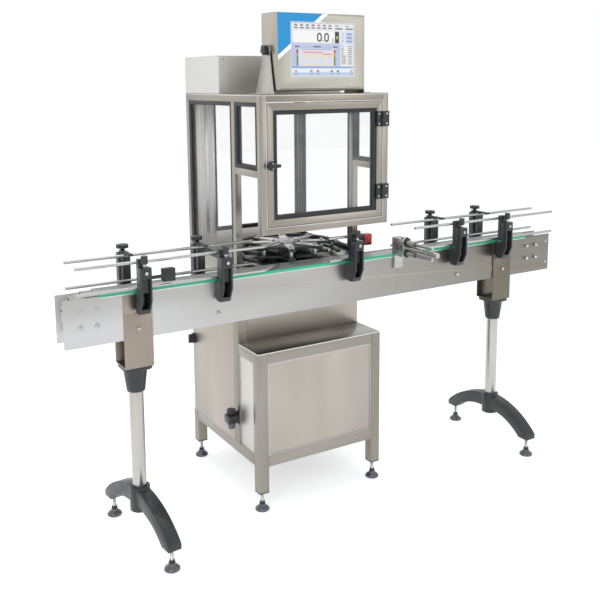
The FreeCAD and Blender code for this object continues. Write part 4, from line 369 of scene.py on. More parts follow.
@dataclass
class Shape:
    """Mesh under construction; callers give millimetres in the shared frame.

    Attributes:
        mesh: bmesh in metres.
        finishes: finishes used so far, in slot order.
    """

    mesh: bmesh.types.BMesh = field(default_factory=bmesh.new)
    finishes: list[Finish] = field(default_factory=list)

    def slot_of(self, finish: Finish) -> int:
        """Return the slot number of a finish, adding it when new."""
        if finish not in self.finishes:
            self.finishes.append(finish)
        return self.finishes.index(finish)

    def take(self, part: bmesh.types.BMesh, finish: Finish | None, bevel: float = 0.0, segments: int = 2) -> None:
        """Bevel a part's sharp edges, paint it and join it.

        Args:
            part: closed mesh in metres; it is freed.
            finish: finish of all its faces, or None when they are painted already.
            bevel: width of the bevel in millimetres.
            segments: steps across the bevel.
        """
        bmesh.ops.recalc_face_normals(part, faces=part.faces)
        if bevel:
            sharp = [e for e in part.edges if e.is_manifold and e.calc_face_angle(0.0) > math.radians(34)]
            bmesh.ops.bevel(part, geom=sharp, offset=bevel * MM, offset_type="OFFSET", segments=segments,
                            profile=0.5, affect="EDGES", clamp_overlap=True, material=-1)
        for face in part.faces:
            face.smooth = True
            if finish is not None:
                face.material_index = self.slot_of(finish)
        holder = bpy.data.meshes.new("holder")
        part.to_mesh(holder)
        part.free()
        self.mesh.from_mesh(holder)
        bpy.data.meshes.remove(holder)

    def box(self, low: Point, high: Point, finish: Finish, bevel: float = 0.8) -> None:
        """Add a box between two corners.

        Args:
            low: lowest corner.
            high: highest corner.
            finish: its finish.
            bevel: edge width.
        """
        part = bmesh.new()
        size = [b - a for a, b in zip(low, high)]
        middle = [(a + b) / 2 for a, b in zip(low, high)]
        place = Matrix.Translation([c * MM for c in middle]) @ Matrix.Diagonal([s * MM for s in size] + [1.0])
        bmesh.ops.create_cube(part, size=1.0, matrix=place)
        self.take(part, finish, min(bevel, min(size) / 3))

    def prism(self, outline: Sequence[Point], push: Point, finish: Finish, bevel: float = 0.0) -> None:
        """Add an extruded polygon.

        Args:
            outline: corner points in one plane.
            push: extrusion vector.
            finish: its finish.
            bevel: edge width.
        """
        part = bmesh.new()
        face = part.faces.new([part.verts.new(Vector(p) * MM) for p in outline])
        grown = bmesh.ops.extrude_face_region(part, geom=[face])
        moved = [g for g in grown["geom"] if isinstance(g, bmesh.types.BMVert)]
        bmesh.ops.translate(part, verts=moved, vec=Vector(push) * MM)
        self.take(part, finish, bevel)

    def lathe(self, base: Point, axis: Axis, profile: Sequence[tuple[float, float]], finish: Finish,
              steps: int = 32) -> None:
        """Add a turned body.

        Args:
            base: point on the axis where the height is 0.
            axis: axis of the turning.
            profile: (radius, height) pairs from one end to the other, both ends at radius 0.
            finish: its finish.
            steps: sides of the body.
        """
        part = bmesh.new()
        verts = [part.verts.new((r * MM, 0.0, h * MM)) for r, h in profile]
        edges = [part.edges.new(pair) for pair in zip(verts, verts[1:])]
        bmesh.ops.spin(part, geom=verts + edges, cent=(0, 0, 0), axis=(0, 0, 1), angle=math.tau, steps=steps,
                       use_merge=True)
        bmesh.ops.remove_doubles(part, verts=part.verts, dist=1e-7)
        tilt = {Axis.X: Matrix.Rotation(math.pi / 2, 4, "Y"), Axis.Y: Matrix.Rotation(-math.pi / 2, 4, "X"),
                Axis.Z: Matrix.Identity(4)}[axis]
        bmesh.ops.transform(part, matrix=Matrix.Translation(Vector(base) * MM) @ tilt, verts=part.verts)
        self.take(part, finish)

    def rod(self, base: Point, axis: Axis, radius: float, length: float, finish: Finish, chamfer: float = 0.6,
            steps: int = 24) -> None:
        """Add a plain chamfered cylinder, or a hexagon with six steps.

        Args:
            base: centre of its first end.
            axis: its axis.
            radius: its radius.
            length: its length.
            finish: its finish.
            chamfer: end chamfer.
            steps: number of sides.
        """
        self.lathe(base, axis, [(0, 0), (radius - chamfer, 0), (radius, chamfer), (radius, length - chamfer),
                                (radius - chamfer, length), (0, length)], finish, steps)

    def rim(self, low: Point, high: Point, width: float, finish: Finish, bevel: float = 0.4) -> None:
        """Add four strips along the border of a thin upright plate.

        Args:
            low: lowest corner of the plate.
            high: highest corner of the plate.
            width: width of the strips.
            finish: their finish.
            bevel: edge width.
        """
        along = 0 if high[0] - low[0] > high[1] - low[1] else 1
        left, right, foot, top = low[along], high[along], low[2], high[2]
        for near, far, under, over in (
                (left, right, foot, foot + width), (left, right, top - width, top),
                (left, left + width, foot + width, top - width), (right - width, right, foot + width, top - width)):
            first, second = list(low), list(high)
            first[along], second[along], first[2], second[2] = near, far, under, over
            self.box(first, second, finish, bevel)

    def band(self, outer: Sequence[tuple[float, float]], inner: Sequence[tuple[float, float]], front: float,
             depth: float, finish: Finish) -> None:
        """Add a closed flat band in an X-Z plane between two loops of equal length.

        Args:
            outer: (x, z) points of the outer loop.
            inner: (x, z) points of the inner loop.
            front: Y of the front face.
            depth: thickness toward +Y.
            finish: its finish.
        """
        part = bmesh.new()
        loops = [[part.verts.new((x * MM, y * MM, z * MM)) for x, z in loop]
                 for loop, y in ((outer, front), (inner, front), (inner, front + depth), (outer, front + depth))]
        for first, second in zip(loops, loops[1:] + loops[:1]):
            for k in range(len(first)):
                n = (k + 1) % len(first)
                part.faces.new((first[k], first[n], second[n], second[k]))
        self.take(part, finish)

    def cad(self, node: str, pick: Pick, bevel: float = 0.5, segments: int = 2) -> None:
        """Add a softened copy of a CAD node.

        Args:
            node: CAD node name.
            pick: finish of an island from its lowest and highest corner in millimetres.
            bevel: edge width.
            segments: steps across the bevel.
        """
        part = bmesh.new()
        part.from_mesh(frame["nodes"][node].data)
        bmesh.ops.remove_doubles(part, verts=part.verts, dist=1e-6)
        bmesh.ops.dissolve_limit(part, angle_limit=math.radians(0.6), verts=part.verts, edges=part.edges)
        for faces in islands(part):
            points = [v.co for face in faces for v in face.verts]
            low = Vector([min(p[i] for p in points) for i in range(3)]) / MM
            high = Vector([max(p[i] for p in points) for i in range(3)]) / MM
            number = self.slot_of(pick(low, high))
            for face in faces:
                face.material_index = number
        self.take(part, None, bevel, segments)

    def place(self, name: str, body: str, slot: str, *nodes: str) -> None:
        """Turn the mesh into an object that rides on a body.

        Args:
            name: piece name.
            body: CAD body that carries it.
            slot: material slot of the record; not used.
            nodes: CAD nodes that it stands for.
        """
        data = bpy.data.meshes.new(name)
        self.mesh.to_mesh(data)
        self.mesh.free()
        for finish in self.finishes:
            data.materials.append(finish.material())
        data.set_sharp_from_angle(angle=math.radians(36))
        piece = bpy.data.objects.new(name, data)
        bpy.context.scene.collection.objects.link(piece)
        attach(piece, body)
        if nodes:
            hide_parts(*nodes)
        LOG.info("%s on %s: %d faces", name, body, len(data.polygons))


def islands(mesh: bmesh.types.BMesh) -> list[list[bmesh.types.BMFace]]:
    """Split a mesh into groups of connected faces.

    Args:
        mesh: mesh to split.

    Returns:
        One list of faces per connected group.
    """
    seen: set[bmesh.types.BMFace] = set()
    groups = []
    for start in mesh.faces:
        if start in seen:
            continue
        seen.add(start)
        group = [start]
        for face in group:
            for edge in face.edges:
                for other in edge.link_faces:
                    if other not in seen:
                        seen.add(other)
                        group.append(other)
        groups.append(group)
    return groups


def only(finish: Finish) -> Pick:
    """Return a picker that gives every island the same finish."""
    return lambda low, high: finish


@dataclass
class CadPiece:
    """One CAD node shown as a softened copy.

    Attributes:
        node: CAD node name, also the piece name.
        slot: material slot of the record.
        pick: finish of each island.
        bevel: edge width in millimetres.
    """

    node: str
    slot: str
    pick: Pick
    bevel: float = 0.5

    def build(self) -> None:
        """Build the copy on the node's own body."""
        shape = Shape()
        shape.cad(self.node, self.pick, self.bevel)
        body = frame["nodes"][self.node].parent.name.split(":")[1]
        shape.place(self.node + "_skin", body, self.slot, self.node)


def skins(slot: str, finish: Finish, **bevels: float) -> None:
    """Show CAD nodes as softened copies of one finish.

    Args:
        slot: material slot of the record.
        finish: finish of every island.
        bevels: edge width in millimetres by node name.
    """
    for node, bevel in bevels.items():
        CadPiece(node, slot, only(finish), bevel).build()


@dataclass
class LevellingFoot:
    """Swivel foot: glossy pad, black ball nut, threaded spindle and lock nut.

    Attributes:
        x: centre in X.
        y: centre in Y.
        top: upper end of the spindle.
        nut_top: upper face of the lock nut.
        ball_nut: corner radius and height of the nut on the pad.
        lock_nut: corner radius and height of the nut under the post.
    """

    x: float
    y: float
    top: float
    nut_top: float
    pad_radius: float = 26.9
    pad_height: float = 26.0
    spindle_radius: float = 6.0
    thread_pitch: float = 2.5
    thread_depth: float = 0.9
    ball_nut: tuple[float, float] = (10.7, 8.2)
    lock_nut: tuple[float, float] = (10.9, 8.0)
    nut_chamfer: float = 1.2

    def build(self, shape: Shape) -> None:
        """Add the foot to a shape."""
        r, h, root = self.pad_radius, self.pad_height, self.spindle_radius - self.thread_depth
        shape.lathe((self.x, self.y, 0), Axis.Z, [
            (0, 0), (r - 2, 0), (r, 2), (r, 5), (r - 1, 7.5), (r - 4, 11), (r - 9, 15), (r - 13, 18.5),
            (r - 15, 22), (r - 15.5, h - 0.6), (r - 16.5, h), (0, h)], FOOT, 40)
        radius, height = self.ball_nut
        shape.rod((self.x, self.y, h), Axis.Z, radius, height, BLACK_PLUG, self.nut_chamfer, 6)
        thread = [(0.0, h)]
        for k in range(int((self.top - h) / self.thread_pitch)):
            z = h + k * self.thread_pitch
            thread += [(root, z), (self.spindle_radius, z + self.thread_pitch / 2)]
        thread += [(root, self.top), (0.0, self.top)]
        shape.lathe((self.x, self.y, 0), Axis.Z, thread, ZINC, 16)
        radius, height = self.lock_nut
        shape.rod((self.x, self.y, self.nut_top - height), Axis.Z, radius, height, ZINC, self.nut_chamfer, 6)


@dataclass
class Conveyor:
    """Side plates, chain, strips, drive and legs."""

    front: float = -164.5
    scale_x: float = 237.0
    scale_low: float = 756.0
    scale_high: float = 869.0
    scale_dots: int = 12
    dot_radius: float = 1.3
    front_strip_y: float = -165.0
    strip_skin: float = -166.0
    strip_highlight_x: tuple[float, float] = (-960.0, 932.0)
    strip_highlight_z: tuple[float, float] = (893.0, 895.4)
    carrying_side: float = 895.0
    slat_width: float = 60.0
    finger_y: float = 21.0
    leg_plate_z: tuple[float, float] = (829.5, 891.0)
    leg_plate_depth: float = 4.0
    leg_plate_spans: tuple[tuple[float, ...], ...] = (
        (-885.0, -845.5), (-806.5, -785.0), (747.0, 750.5), (789.5, 847.0))
    leg_feet_left: tuple[tuple[float, float], ...] = ((-812.9, -340.4), (-857.1, 101.4))
    leg_feet_right: tuple[tuple[float, float], ...] = ((797.0, -341.5), (797.0, 102.5))

    def build(self) -> None:
        """Build every piece of the conveyor."""
        self.plates()
        self.chain()
        self.strips()
        skins("bright_steel", ZINC, conveyor_fasteners=0.5)
        skins("black_polyamide", POLYAMIDE, end_bearings=1.0)
        skins("motor_paint", PAINT, drive_motors=1.5)
        skins("grey_foot", POLYAMIDE, idler_sprocket=0.4, drive_sprocket=0.4)
        self.leg_plates()
        skins("black_polyamide", POLYAMIDE, leg_collars=1.5)
        skins("brushed_stainless", PIPE, leg_tubes=0.4)
        skins("black_polyamide", POLYAMIDE, bipod_left=2.0, bipod_right=2.0)
        for side, feet in (("left", self.leg_feet_left), ("right", self.leg_feet_right)):
            shape = Shape()
            for x, y in feet:
                LevellingFoot(x, y, 88.0, 75.0).build(shape)
            shape.place(f"bipod_feet_{side}_skin", f"leg_{side}", "grey_foot", f"bipod_feet_{side}")

    def strips(self) -> None:
        """Wear strips: green in front, natural behind and below, and a painted highlight line under the front
        strip.
        """
        shape = Shape()
        shape.cad("wear_strips", lambda low, high: GREEN if low.y < self.front_strip_y else PALE_STRIP, 0.4)
        left, right = self.strip_highlight_x
        low, high = self.strip_highlight_z
        # painted highlight: a thin bright strip for the light caught by the side plate's top edge
        shape.box((left, self.strip_skin - 0.2, low), (right, self.strip_skin, high), PALE_STEEL_AND_HIGHLIGHT, 0.0)
        shape.place("wear_strips_skin", "machine", "green_wear_strip", "wear_strips")

    def leg_plates(self) -> None:
        """Leg channels with the thin plate that runs up behind the brackets."""
        shape = Shape()
        shape.cad("leg_channels", only(LEG_PLATE), 0.3)
        low, high = self.leg_plate_z
        for left, right in self.leg_plate_spans:
            shape.box((left, self.front - self.leg_plate_depth, low), (right, self.front, high), LEG_PLATE, 0.3)
        shape.place("leg_channels_skin", "machine", "brushed_stainless", "leg_channels")

    def plates(self) -> None:
        """Side plates with the row of scale marks on the front one."""
        shape = Shape()
        shape.cad("conveyor_side_plates", only(PLATE), 0.5)
        step = (self.scale_high - self.scale_low) / (self.scale_dots - 1)
        for k in range(self.scale_dots):
            shape.rod((self.scale_x, self.front - 0.3, self.scale_low + k * step), Axis.Y, self.dot_radius, 0.4,
                      DARK_MARK_AND_GAP_SHADE, 0.1, 12)
        shape.place("conveyor_side_plates_skin", "machine", "brushed_stainless", "conveyor_side_plates")

    def chain(self) -> None:
        """Slats with painted shade lines in the seams of their hinge fingers on the carrying side."""
        shape = Shape()
        seams: list[tuple[Vector, Vector]] = []

        def pick(low: Vector, high: Vector) -> Finish:
            """Note each whole slat of the carrying side and paint it."""
            if low.z > self.carrying_side and high.y - low.y >= self.slat_width:
                seams.append((low.copy(), high.copy()))
            return ACETAL

        shape.cad("chain_slats", pick, 0.5, 1)
        for low, high in seams:
            # painted shade: dark strips in the gaps between the hinge fingers
            middle, under, over = (low.y + high.y) / 2, high.z - 0.3, high.z + 0.1
            for y in (middle - self.finger_y, middle + self.finger_y):
                shape.box((high.x - 7.0, y - 0.6, under), (high.x - 0.6, y + 0.6, over), DARK_MARK_AND_GAP_SHADE, 0.05)
            shape.box((high.x - 7.4, middle - self.finger_y, under), (high.x - 6.4, middle + self.finger_y, over),
                      DARK_MARK_AND_GAP_SHADE, 0.05)
        shape.place("chain_slats_skin", "machine", "slat_acetal", "chain_slats")


@dataclass
class Cabinet:
    """Tube frame, panels, covers, feet and the small fittings of the base."""

    x0: float = -396.0
    x1: float = 146.0
    y0: float = -174.5
    ym: float = -19.5
    y1: float = 407.5
    tube: float = 40.0
    foot_line: float = 69.0
    plug: float = 4.0
    rail: float = 170.0
    rail_top: float = 210.0
    step: float = 604.0
    deck: float = 901.0
    bead: float = 5.0
    bead_face: float = 1.5
    panel_face: float = 3.0
    panel_back: float = 5.0
    lap: float = 3.5
    tie_y: float = -74.5
    tie_z: tuple[float, float] = (790.0, 820.0)
    guard_front: float = -214.5
    roof: float = 1529.0

    def build(self) -> None:
        """Build every piece of the cabinet."""
        self.frame_tubes()
        self.panels()
        self.covers()
        self.feet()
        CadPiece("air_regulator", "black_polyamide", self.regulator_finish, 1.5).build()
        skins("black_polyamide", POLYAMIDE, regulator_knob=0.8, main_switch=1.0)
        skins("black_polyamide", BLACK_PLUG, switch_knob=1.0)

    def regulator_finish(self, low: Vector, high: Vector) -> Finish:
        """Pick black for the upper body and a paler bowl below it."""
        return POLYAMIDE if high.z > 300.0 else PAINT

    def frame_tubes(self) -> None:
        """Welded tubes, each with its grain along its own length."""
        shape = Shape()
        x0, x1, y0, ym, y1, t = self.x0, self.x1, self.y0, self.ym, self.y1, self.tube
        low, (tie_low, tie_high) = self.foot_line + self.plug, self.tie_z
        for x in (x0, x1 - t):
            # a panel laps over the rear left post and over the upper right one
            inset, front = (self.lap, 0.0) if x == x0 else (0.0, self.lap)
            for near, far, finish in (
                    ((x, y0, low), (x + t, y0 + t, self.step), STEEL_Z),
                    ((x, ym + front, self.rail_top), (x + t, ym + t, self.deck), STEEL_Z),
                    ((x, y1 - t, low), (x + t, y1, self.rail_top), STEEL_Z),
                    ((x + inset, y1 - t, self.rail_top), (x + t, y1, self.deck - t), STEEL_Z),
                    ((x, y1 - t, self.deck - t), (x + t, y1, self.deck), STEEL_Z),
                    ((x, y0 + t, self.rail), (x + t, y1 - t, self.rail_top), STEEL_Y),
                    ((x, y0 + t, self.step - t), (x + t, ym, self.step), STEEL_Y),
                    ((x, ym + t, self.deck - t), (x + t, y1 - t, self.deck), STEEL_Y)):
                shape.box(near, far, finish, 1.2)
            shape.box((x, self.tie_y, tie_low), (x + tie_high - tie_low, ym, tie_high), STEEL_Y, 1.0)
        for y, z in ((y0, self.rail), (y0, self.step - t), (y1 - t, self.rail), (ym, self.deck - t),
                     (y1 - t, self.deck - t)):
            shape.box((x0 + t, y, z), (x1 - t, y + t, z + t), STEEL_X, 1.2)
        shape.place("base_frame_skin", "machine", "brushed_stainless", "base_frame")

    def panels(self) -> None:
        """Ground panels, the front and left ones of the step with a bright bead round them; the step's left panel
        is a paler copy, painted light from the left.
        """
        shape = Shape()
        x0, x1, y0, ym, y1, t = self.x0, self.x1, self.y0, self.ym, self.y1, self.tube
        low, top, high, face, back = self.rail_top, self.step - t, self.deck - t, self.panel_face, self.panel_back
        for near, far, finish in (
                ((x0 + t, y0 + face, low), (x1 - t, y0 + back, top), PANEL),
                ((x0 + t, ym, self.step + 2.2), (x1, ym + face, high), PANEL),
                ((x0 + t, y1 - back, low), (x1 - t, y1 - face, high), PANEL),
                # painted light: the left-facing step panel is paler than the rest
                ((x0 + face, y0 + t, low), (x0 + back, ym, top), LIT_SIDE_PANEL),
                ((x0, ym + t, low), (x0 + face, y1 - 9, high), PANEL),
                ((x1 - back, y0 + t, low), (x1 - face, ym, top), PANEL),
                ((x1 - back, ym + t, low), (x1 - face, y1 - t, high), PANEL)):
            shape.box(near, far, finish, 0.3)
        shape.rim((x0 + t, y0 + self.bead_face, low), (x1 - t, y0 + face, top), self.bead, BRIGHT)
        shape.rim((x0 + self.bead_face, y0 + t, low), (x0 + face, ym, top), self.bead, BRIGHT)
        shape.place("base_panels_skin", "machine", "brushed_stainless", "base_panels")

    def covers(self) -> None:
        """Step cover, deck and roof plate, with painted highlight strips along the front and left edges of the step
        and the roof.
        """
        shape = Shape()
        # painted highlight: thin bright strips where the step and roof edges catch the light
        for front, back, low, high, proud in (
                (self.y0, self.ym, self.step - 1.0, self.step + 2.0, 0.4),
                (self.guard_front, self.y1, self.roof - 2.0, self.roof, 0.3)):
            shape.box((self.x0, front - proud, low), (self.x1, front, high), PALE_STEEL_AND_HIGHLIGHT, 0.1)
            shape.box((self.x0 - proud, front, low), (self.x0, back, high), PALE_STEEL_AND_HIGHLIGHT, 0.1)
        shape.cad("cover_plates", lambda low, high: STEEL_X if low.z > 1000.0 else SHEET, 0.6)
        shape.place("cover_plates_skin", "machine", "brushed_stainless", "cover_plates")

    def feet(self) -> None:
        """Black post plugs and the four swivel feet."""
        shape = Shape()
        half = self.tube / 2
        for x in (self.x0 + half, self.x1 - half):
            for y in (self.y0 + half, self.y1 - half):
                shape.box((x - half, y - half, self.foot_line), (x + half, y + half, self.foot_line + self.plug),
                          BLACK_PLUG, 1.0)
                LevellingFoot(x, y, 74.0, self.foot_line).build(shape)
        shape.place("base_feet_skin", "machine", "grey_foot", "base_feet")


@dataclass
class Guard:
    """Glazed tube guard, cable duct and control box."""

    x0: float = -396.0
    x1: float = 146.0
    yf: float = -214.5
    yb: float = -189.5
    ym: float = -19.5
    y1: float = 407.5
    tube: float = 25.0
    bottom: float = 1045.0
    top: float = 1529.0
    deck: float = 904.0
    mid_rail: float = 1245.0
    trim_low: float = 964.0
    highlight_width: float = 2.0
    highlight_proud: float = 0.3
    duct_face: float = 369.5
    fold_highlights: tuple[tuple[float, float], ...] = ((-334.0, 13.0), (-301.0, 8.0))
    box_face: float = 102.1
    box_screw_inset: float = 20.0
    box_screw_z: float = 1660.0

    def build(self) -> None:
        """Build every piece of the guard."""
        self.frame_tubes()
        skins("rubber_seal", RUBBER, window_seals=1.0)
        skins("clear_pane", CLEAR, window_panes=0.0)
        self.duct()
        self.control_box()

    def frame_tubes(self) -> None:
        """Welded tubes with their grain along them, a lit strip in the rear corner and a painted highlight rim
        round the door opening.
        """
        shape = Shape()
        x0, x1, yf, yb, ym, y1, t = self.x0, self.x1, self.yf, self.yb, self.ym, self.y1, self.tube
        under = self.top - t
        for x in (x0, x1 - t):
            shape.box((x, yf, self.bottom), (x + t, yb, self.top), STEEL_Z, 1.0)
            shape.box((x, ym, self.deck), (x + t, ym + t, under), STEEL_Z, 1.0)
            shape.box((x, y1 - t, self.deck), (x + t, y1, under), STEEL_Z, 1.0)
            shape.box((x, yb, under), (x + t, y1, self.top), STEEL_Y, 1.0)
            shape.box((x, yb, self.mid_rail), (x + t, ym, self.mid_rail + t), STEEL_Y, 1.0)
        for y, z in ((yf, under), (yf, self.bottom), (y1 - t, under)):
            shape.box((x0 + t, y, z), (x1 - t, y + t, z + t), STEEL_X, 1.0)
        left, right, low, corner = x0 + t, x1 - t, self.bottom + t, y1 - t
        shape.box((right - 0.4, corner - 11.0, self.trim_low), (right + 2.0, corner, under), STEEL_Z, 0.1)
        shape.box((right - 9.0, corner + 1.6, self.trim_low), (right, corner + 2.0, under), STEEL_Z, 0.1)
        # painted highlight: bright strips round the door opening for the light its edges catch
        rim, proud = self.highlight_width, self.highlight_proud
        for x in (left - rim, right):
            shape.box((x, yf - proud, low - rim), (x + rim, yf, under + rim), PALE_STEEL_AND_HIGHLIGHT, 0.1)
        for z in (low - rim, under):
            shape.box((left, yf - proud, z), (right, yf, z + rim), PALE_STEEL_AND_HIGHLIGHT, 0.1)
        shape.place("upper_frame_skin", "machine", "brushed_stainless", "upper_frame")

    def duct(self) -> None:
        """Folded cable duct with painted highlight strips where its folds catch the light."""
        shape = Shape()
        shape.cad("cable_duct", only(DUCT), 0.6)
        face, top = self.duct_face, self.top - self.tube - 1.0
        # painted highlight: flat bright strips stand in for the light on the duct's folds
        for x, width in self.fold_highlights:
            shape.box((x, face - 0.5, self.trim_low), (x + width, face, top), PALE_STEEL_AND_HIGHLIGHT, 0.1)
        shape.place("cable_duct_skin", "machine", "brushed_stainless", "cable_duct")

    def control_box(self) -> None:
        """Folded sheet box with two cover screws."""
        shape = Shape()
        shape.cad("control_box", only(BOX_SHEET), 1.6, 3)
        for x in (self.x0 + self.box_screw_inset, self.x1 - self.box_screw_inset):
            shape.rod((x, self.box_face, self.box_screw_z), Axis.Y, 4.0, 0.6, ZINC, 0.2, 16)
        shape.place("control_box_skin", "machine", "brushed_stainless", "control_box")


@dataclass
class Door:
    """Hinged door leaf with seal, pane, hinges and latch."""

    left: float = -369.0
    right: float = 119.0
    low: float = 1072.0
    high: float = 1502.0
    front: float = -214.5
    tube: float = 25.0
    latch_x: float = -356.5
    latch_z: float = 1288.0
    hinge_z: tuple[float, float] = (1166.0, 1437.0)
    hinge_step: float = 18.0
    hinge_face: float = -220.4

    def build(self) -> None:
        """Build every piece of the door."""
        shape = Shape()
        x0, x1, z0, z1, t, y = self.left, self.right, self.low, self.high, self.tube, self.front
        push = (0.0, t, 0.0)
        sides = (
            ([(x0, z0), (x0 + t, z0 + t), (x0 + t, z1 - t), (x0, z1)], STEEL_Z),
            ([(x1, z0), (x1, z1), (x1 - t, z1 - t), (x1 - t, z0 + t)], STEEL_Z),
            ([(x0, z0), (x1, z0), (x1 - t, z0 + t), (x0 + t, z0 + t)], STEEL_X),
            ([(x0, z1), (x0 + t, z1 - t), (x1 - t, z1 - t), (x1, z1)], STEEL_X),
        )
        for outline, finish in sides:
            shape.prism([(x, y, z) for x, z in outline], push, finish, 0.9)
        shape.place("door_frame_skin", "door", "brushed_stainless", "door_frame")
        skins("rubber_seal", RUBBER, door_seal=1.0)
        skins("clear_pane", CLEAR, door_pane=0.0)
        self.latch()
        self.hinges("door_hinge_leaves", "door", 102.5)
        self.hinges("frame_hinge_leaves", "machine", 137.5)

    def latch(self) -> None:
        """Quarter-turn latch: lever on a domed black rose with a bright ring and two screws."""
        shape = Shape()
        shape.cad("door_handle", only(BLACK_PLUG), 1.0)
        x, z, back = self.latch_x, self.latch_z, self.front - 0.4
        shape.lathe((x, back - 15.0, z), Axis.Y, [(0, 0), (11, 0), (15, 3), (17, 7), (17, 14), (0, 14)], BLACK_PLUG)
        shape.lathe((x, back - 1.0, z), Axis.Y, [(0, 0), (18.2, 0), (18.6, 0.5), (18.6, 1), (0, 1)], BRIGHT)
        for step in (-8.0, 8.0):
            shape.rod((x + 2.0, back - 16.2, z + step), Axis.Y, 3.2, 2.4, ZINC, 0.5, 16)
        shape.place("door_handle_skin", "door_latch", "black_polyamide", "door_handle")

    def hinges(self, node: str, body: str, x: float) -> None:
        """Hinge leaves with two countersunk screws each.

        Args:
            node: CAD node of the leaves.
            body: body that carries them.
            x: X of their screws.
        """
        shape = Shape()
        shape.cad(node, only(BLACK_PLUG), 0.7)
        for middle in self.hinge_z:
            for z in (middle - self.hinge_step, middle + self.hinge_step):
                shape.rod((x, self.hinge_face, z), Axis.Y, 3.6, 1.2, ZINC, 0.4, 16)
        shape.place(node + "_skin", body, "black_polyamide", node)


@dataclass
class Display:
    """Lit screen of the terminal, laid out in thin plates.

    Attributes:
        left: X of the left edge.
        right: X of the right edge.
        low: Z of the lower edge.
        high: Z of the upper edge.
        front: Y of the glass.
    """

    left: float = -251.0
    right: float = 11.0
    low: float = 1593.0
    high: float = 1777.0
    front: float = -183.5
    layer: float = 0.12
    shape: Shape = field(default_factory=Shape)

    def spot(self, u: float, v: float) -> tuple[float, float]:
        """Turn shares of the screen, from its upper left corner, into (x, z)."""
        return self.left + u * (self.right - self.left), self.high - v * (self.high - self.low)

    def plate(self, u0: float, v0: float, u1: float, v1: float, tint: str, level: int = 1) -> None:
        """Add one lit rectangle.

        Args:
            u0: left share.
            v0: upper share.
            u1: right share.
            v1: lower share.
            tint: its colour.
            level: layers above the glass.
        """
        x0, z1 = self.spot(u0, v0)
        x1, z0 = self.spot(u1, v1)
        y = self.front - level * self.layer
        self.shape.box((x0, y, z0), (x1, y + self.layer, z1), self.lit(tint), 0.0)

    def lit(self, tint: str) -> LitPixels:
        """Return the lit finish of a colour."""
        return LitPixels("lcd_pixels_" + tint[1:], tint, 0.3, 0.9)

    def zero(self, u: float, v: float, width: float, height: float, stroke: float) -> None:
        """Add a rounded zero around a centre point, sizes in millimetres."""
        x, z = self.spot(u, v)
        loops = []
        for shrink in (0.0, stroke):
            half_w, half_h = width / 2 - shrink, height / 2 - shrink
            loop = []
            for k in range(32):
                a = math.tau * k / 32
                c, s = math.cos(a), math.sin(a)
                loop.append((x + half_w * math.copysign(abs(c) ** 0.8, c),
                             z + half_h * math.copysign(abs(s) ** 0.8, s)))
            loops.append(loop)
        self.shape.band(loops[0], loops[1], self.front - 3 * self.layer, self.layer, self.lit("#15151a"))

    def build(self) -> None:
        """Lay out the whole picture and put it on the terminal."""
        self.plate(0.0, 0.0, 1.0, 1.0, "#e6eaf4")
        self.top_row()
        self.weight_field()
        self.chart()
        self.side_columns()
        self.bottom_bar()
        self.shape.place("terminal_screen_skin", "terminal", "display_glass", "terminal_screen")

    def top_row(self) -> None:
        """Row of small marks along the top."""
        self.plate(0.01, 0.015, 0.99, 0.125, "#f3f4f8", 2)
        for k in range(7):
            u = 0.045 + k * 0.09
            tint = "#e08a4a" if k == 4 else "#8a8a8c"
            self.plate(u, 0.025, u + 0.045, 0.06, tint, 3)
            self.plate(u - 0.005, 0.08, u + 0.055, 0.105, "#6f6f74", 3)
        for u in (0.69, 0.86):
            self.plate(u, 0.03, u + 0.06, 0.055, "#a0a0a4", 3)
            self.plate(u, 0.08, u + 0.125, 0.108, "#737378", 3)

    def weight_field(self) -> None:
        """White field with the reading, the unit mark and the black level bar."""
        self.plate(0.03, 0.14, 0.68, 0.36, "#ffffff", 2)
        self.zero(0.438, 0.262, 20.5, 31.0, 5.2)
        self.zero(0.553, 0.262, 20.5, 31.0, 5.2)
        self.plate(0.486, 0.315, 0.503, 0.34, "#15151a", 3)
        self.plate(0.648, 0.285, 0.664, 0.355, "#77777c", 3)
        self.plate(0.69, 0.15, 0.755, 0.37, "#08080a", 3)
        self.plate(0.71, 0.235, 0.737, 0.29, "#b9d016", 4)
        for v in (0.175, 0.24, 0.305):
            self.plate(0.805, v, 0.835, v + 0.035, "#bcd0f0", 2)
        self.plate(0.872, 0.165, 0.98, 0.37, "#c3d4f1", 2)
        for v in (0.18, 0.25, 0.32):
            self.plate(0.885, v, 0.965, v + 0.02, "#6d7f9e", 3)

    def chart(self) -> None:
        """Lower panel with two level bars and the line chart."""
        self.plate(0.0, 0.375, 0.775, 0.845, "#bccbec", 2)
        self.plate(0.035, 0.385, 0.74, 0.41, "#cdcfea", 3)
        self.plate(0.0, 0.815, 0.99, 0.845, "#86a6de", 3)
        self.plate(0.11, 0.48, 0.70, 0.81, "#dfe6f4", 3)
        self.plate(0.155, 0.495, 0.64, 0.80, "#e6e4ee", 4)
        self.plate(0.18, 0.60, 0.63, 0.635, "#efe9b4", 5)
        self.plate(0.18, 0.78, 0.63, 0.795, "#efe3a8", 5)
        self.plate(0.155, 0.49, 0.64, 0.50, "#8d8c98", 5)
        self.plate(0.18, 0.535, 0.485, 0.562, "#ef9a9a", 5)
        self.plate(0.485, 0.57, 0.64, 0.592, "#ef8f8f", 5)
        for u in (0.076, 0.67):
            self.plate(u, 0.495, u + 0.028, 0.56, "#c01818", 4)
            self.plate(u, 0.56, u + 0.028, 0.63, "#c9960e", 4)
            self.plate(u, 0.63, u + 0.028, 0.80, "#6c8f16", 4)
        for u in (0.05, 0.34, 0.66):
            self.plate(u, 0.43, u + (0.12 if u == 0.34 else 0.07), 0.455, "#5f5f6c", 4)

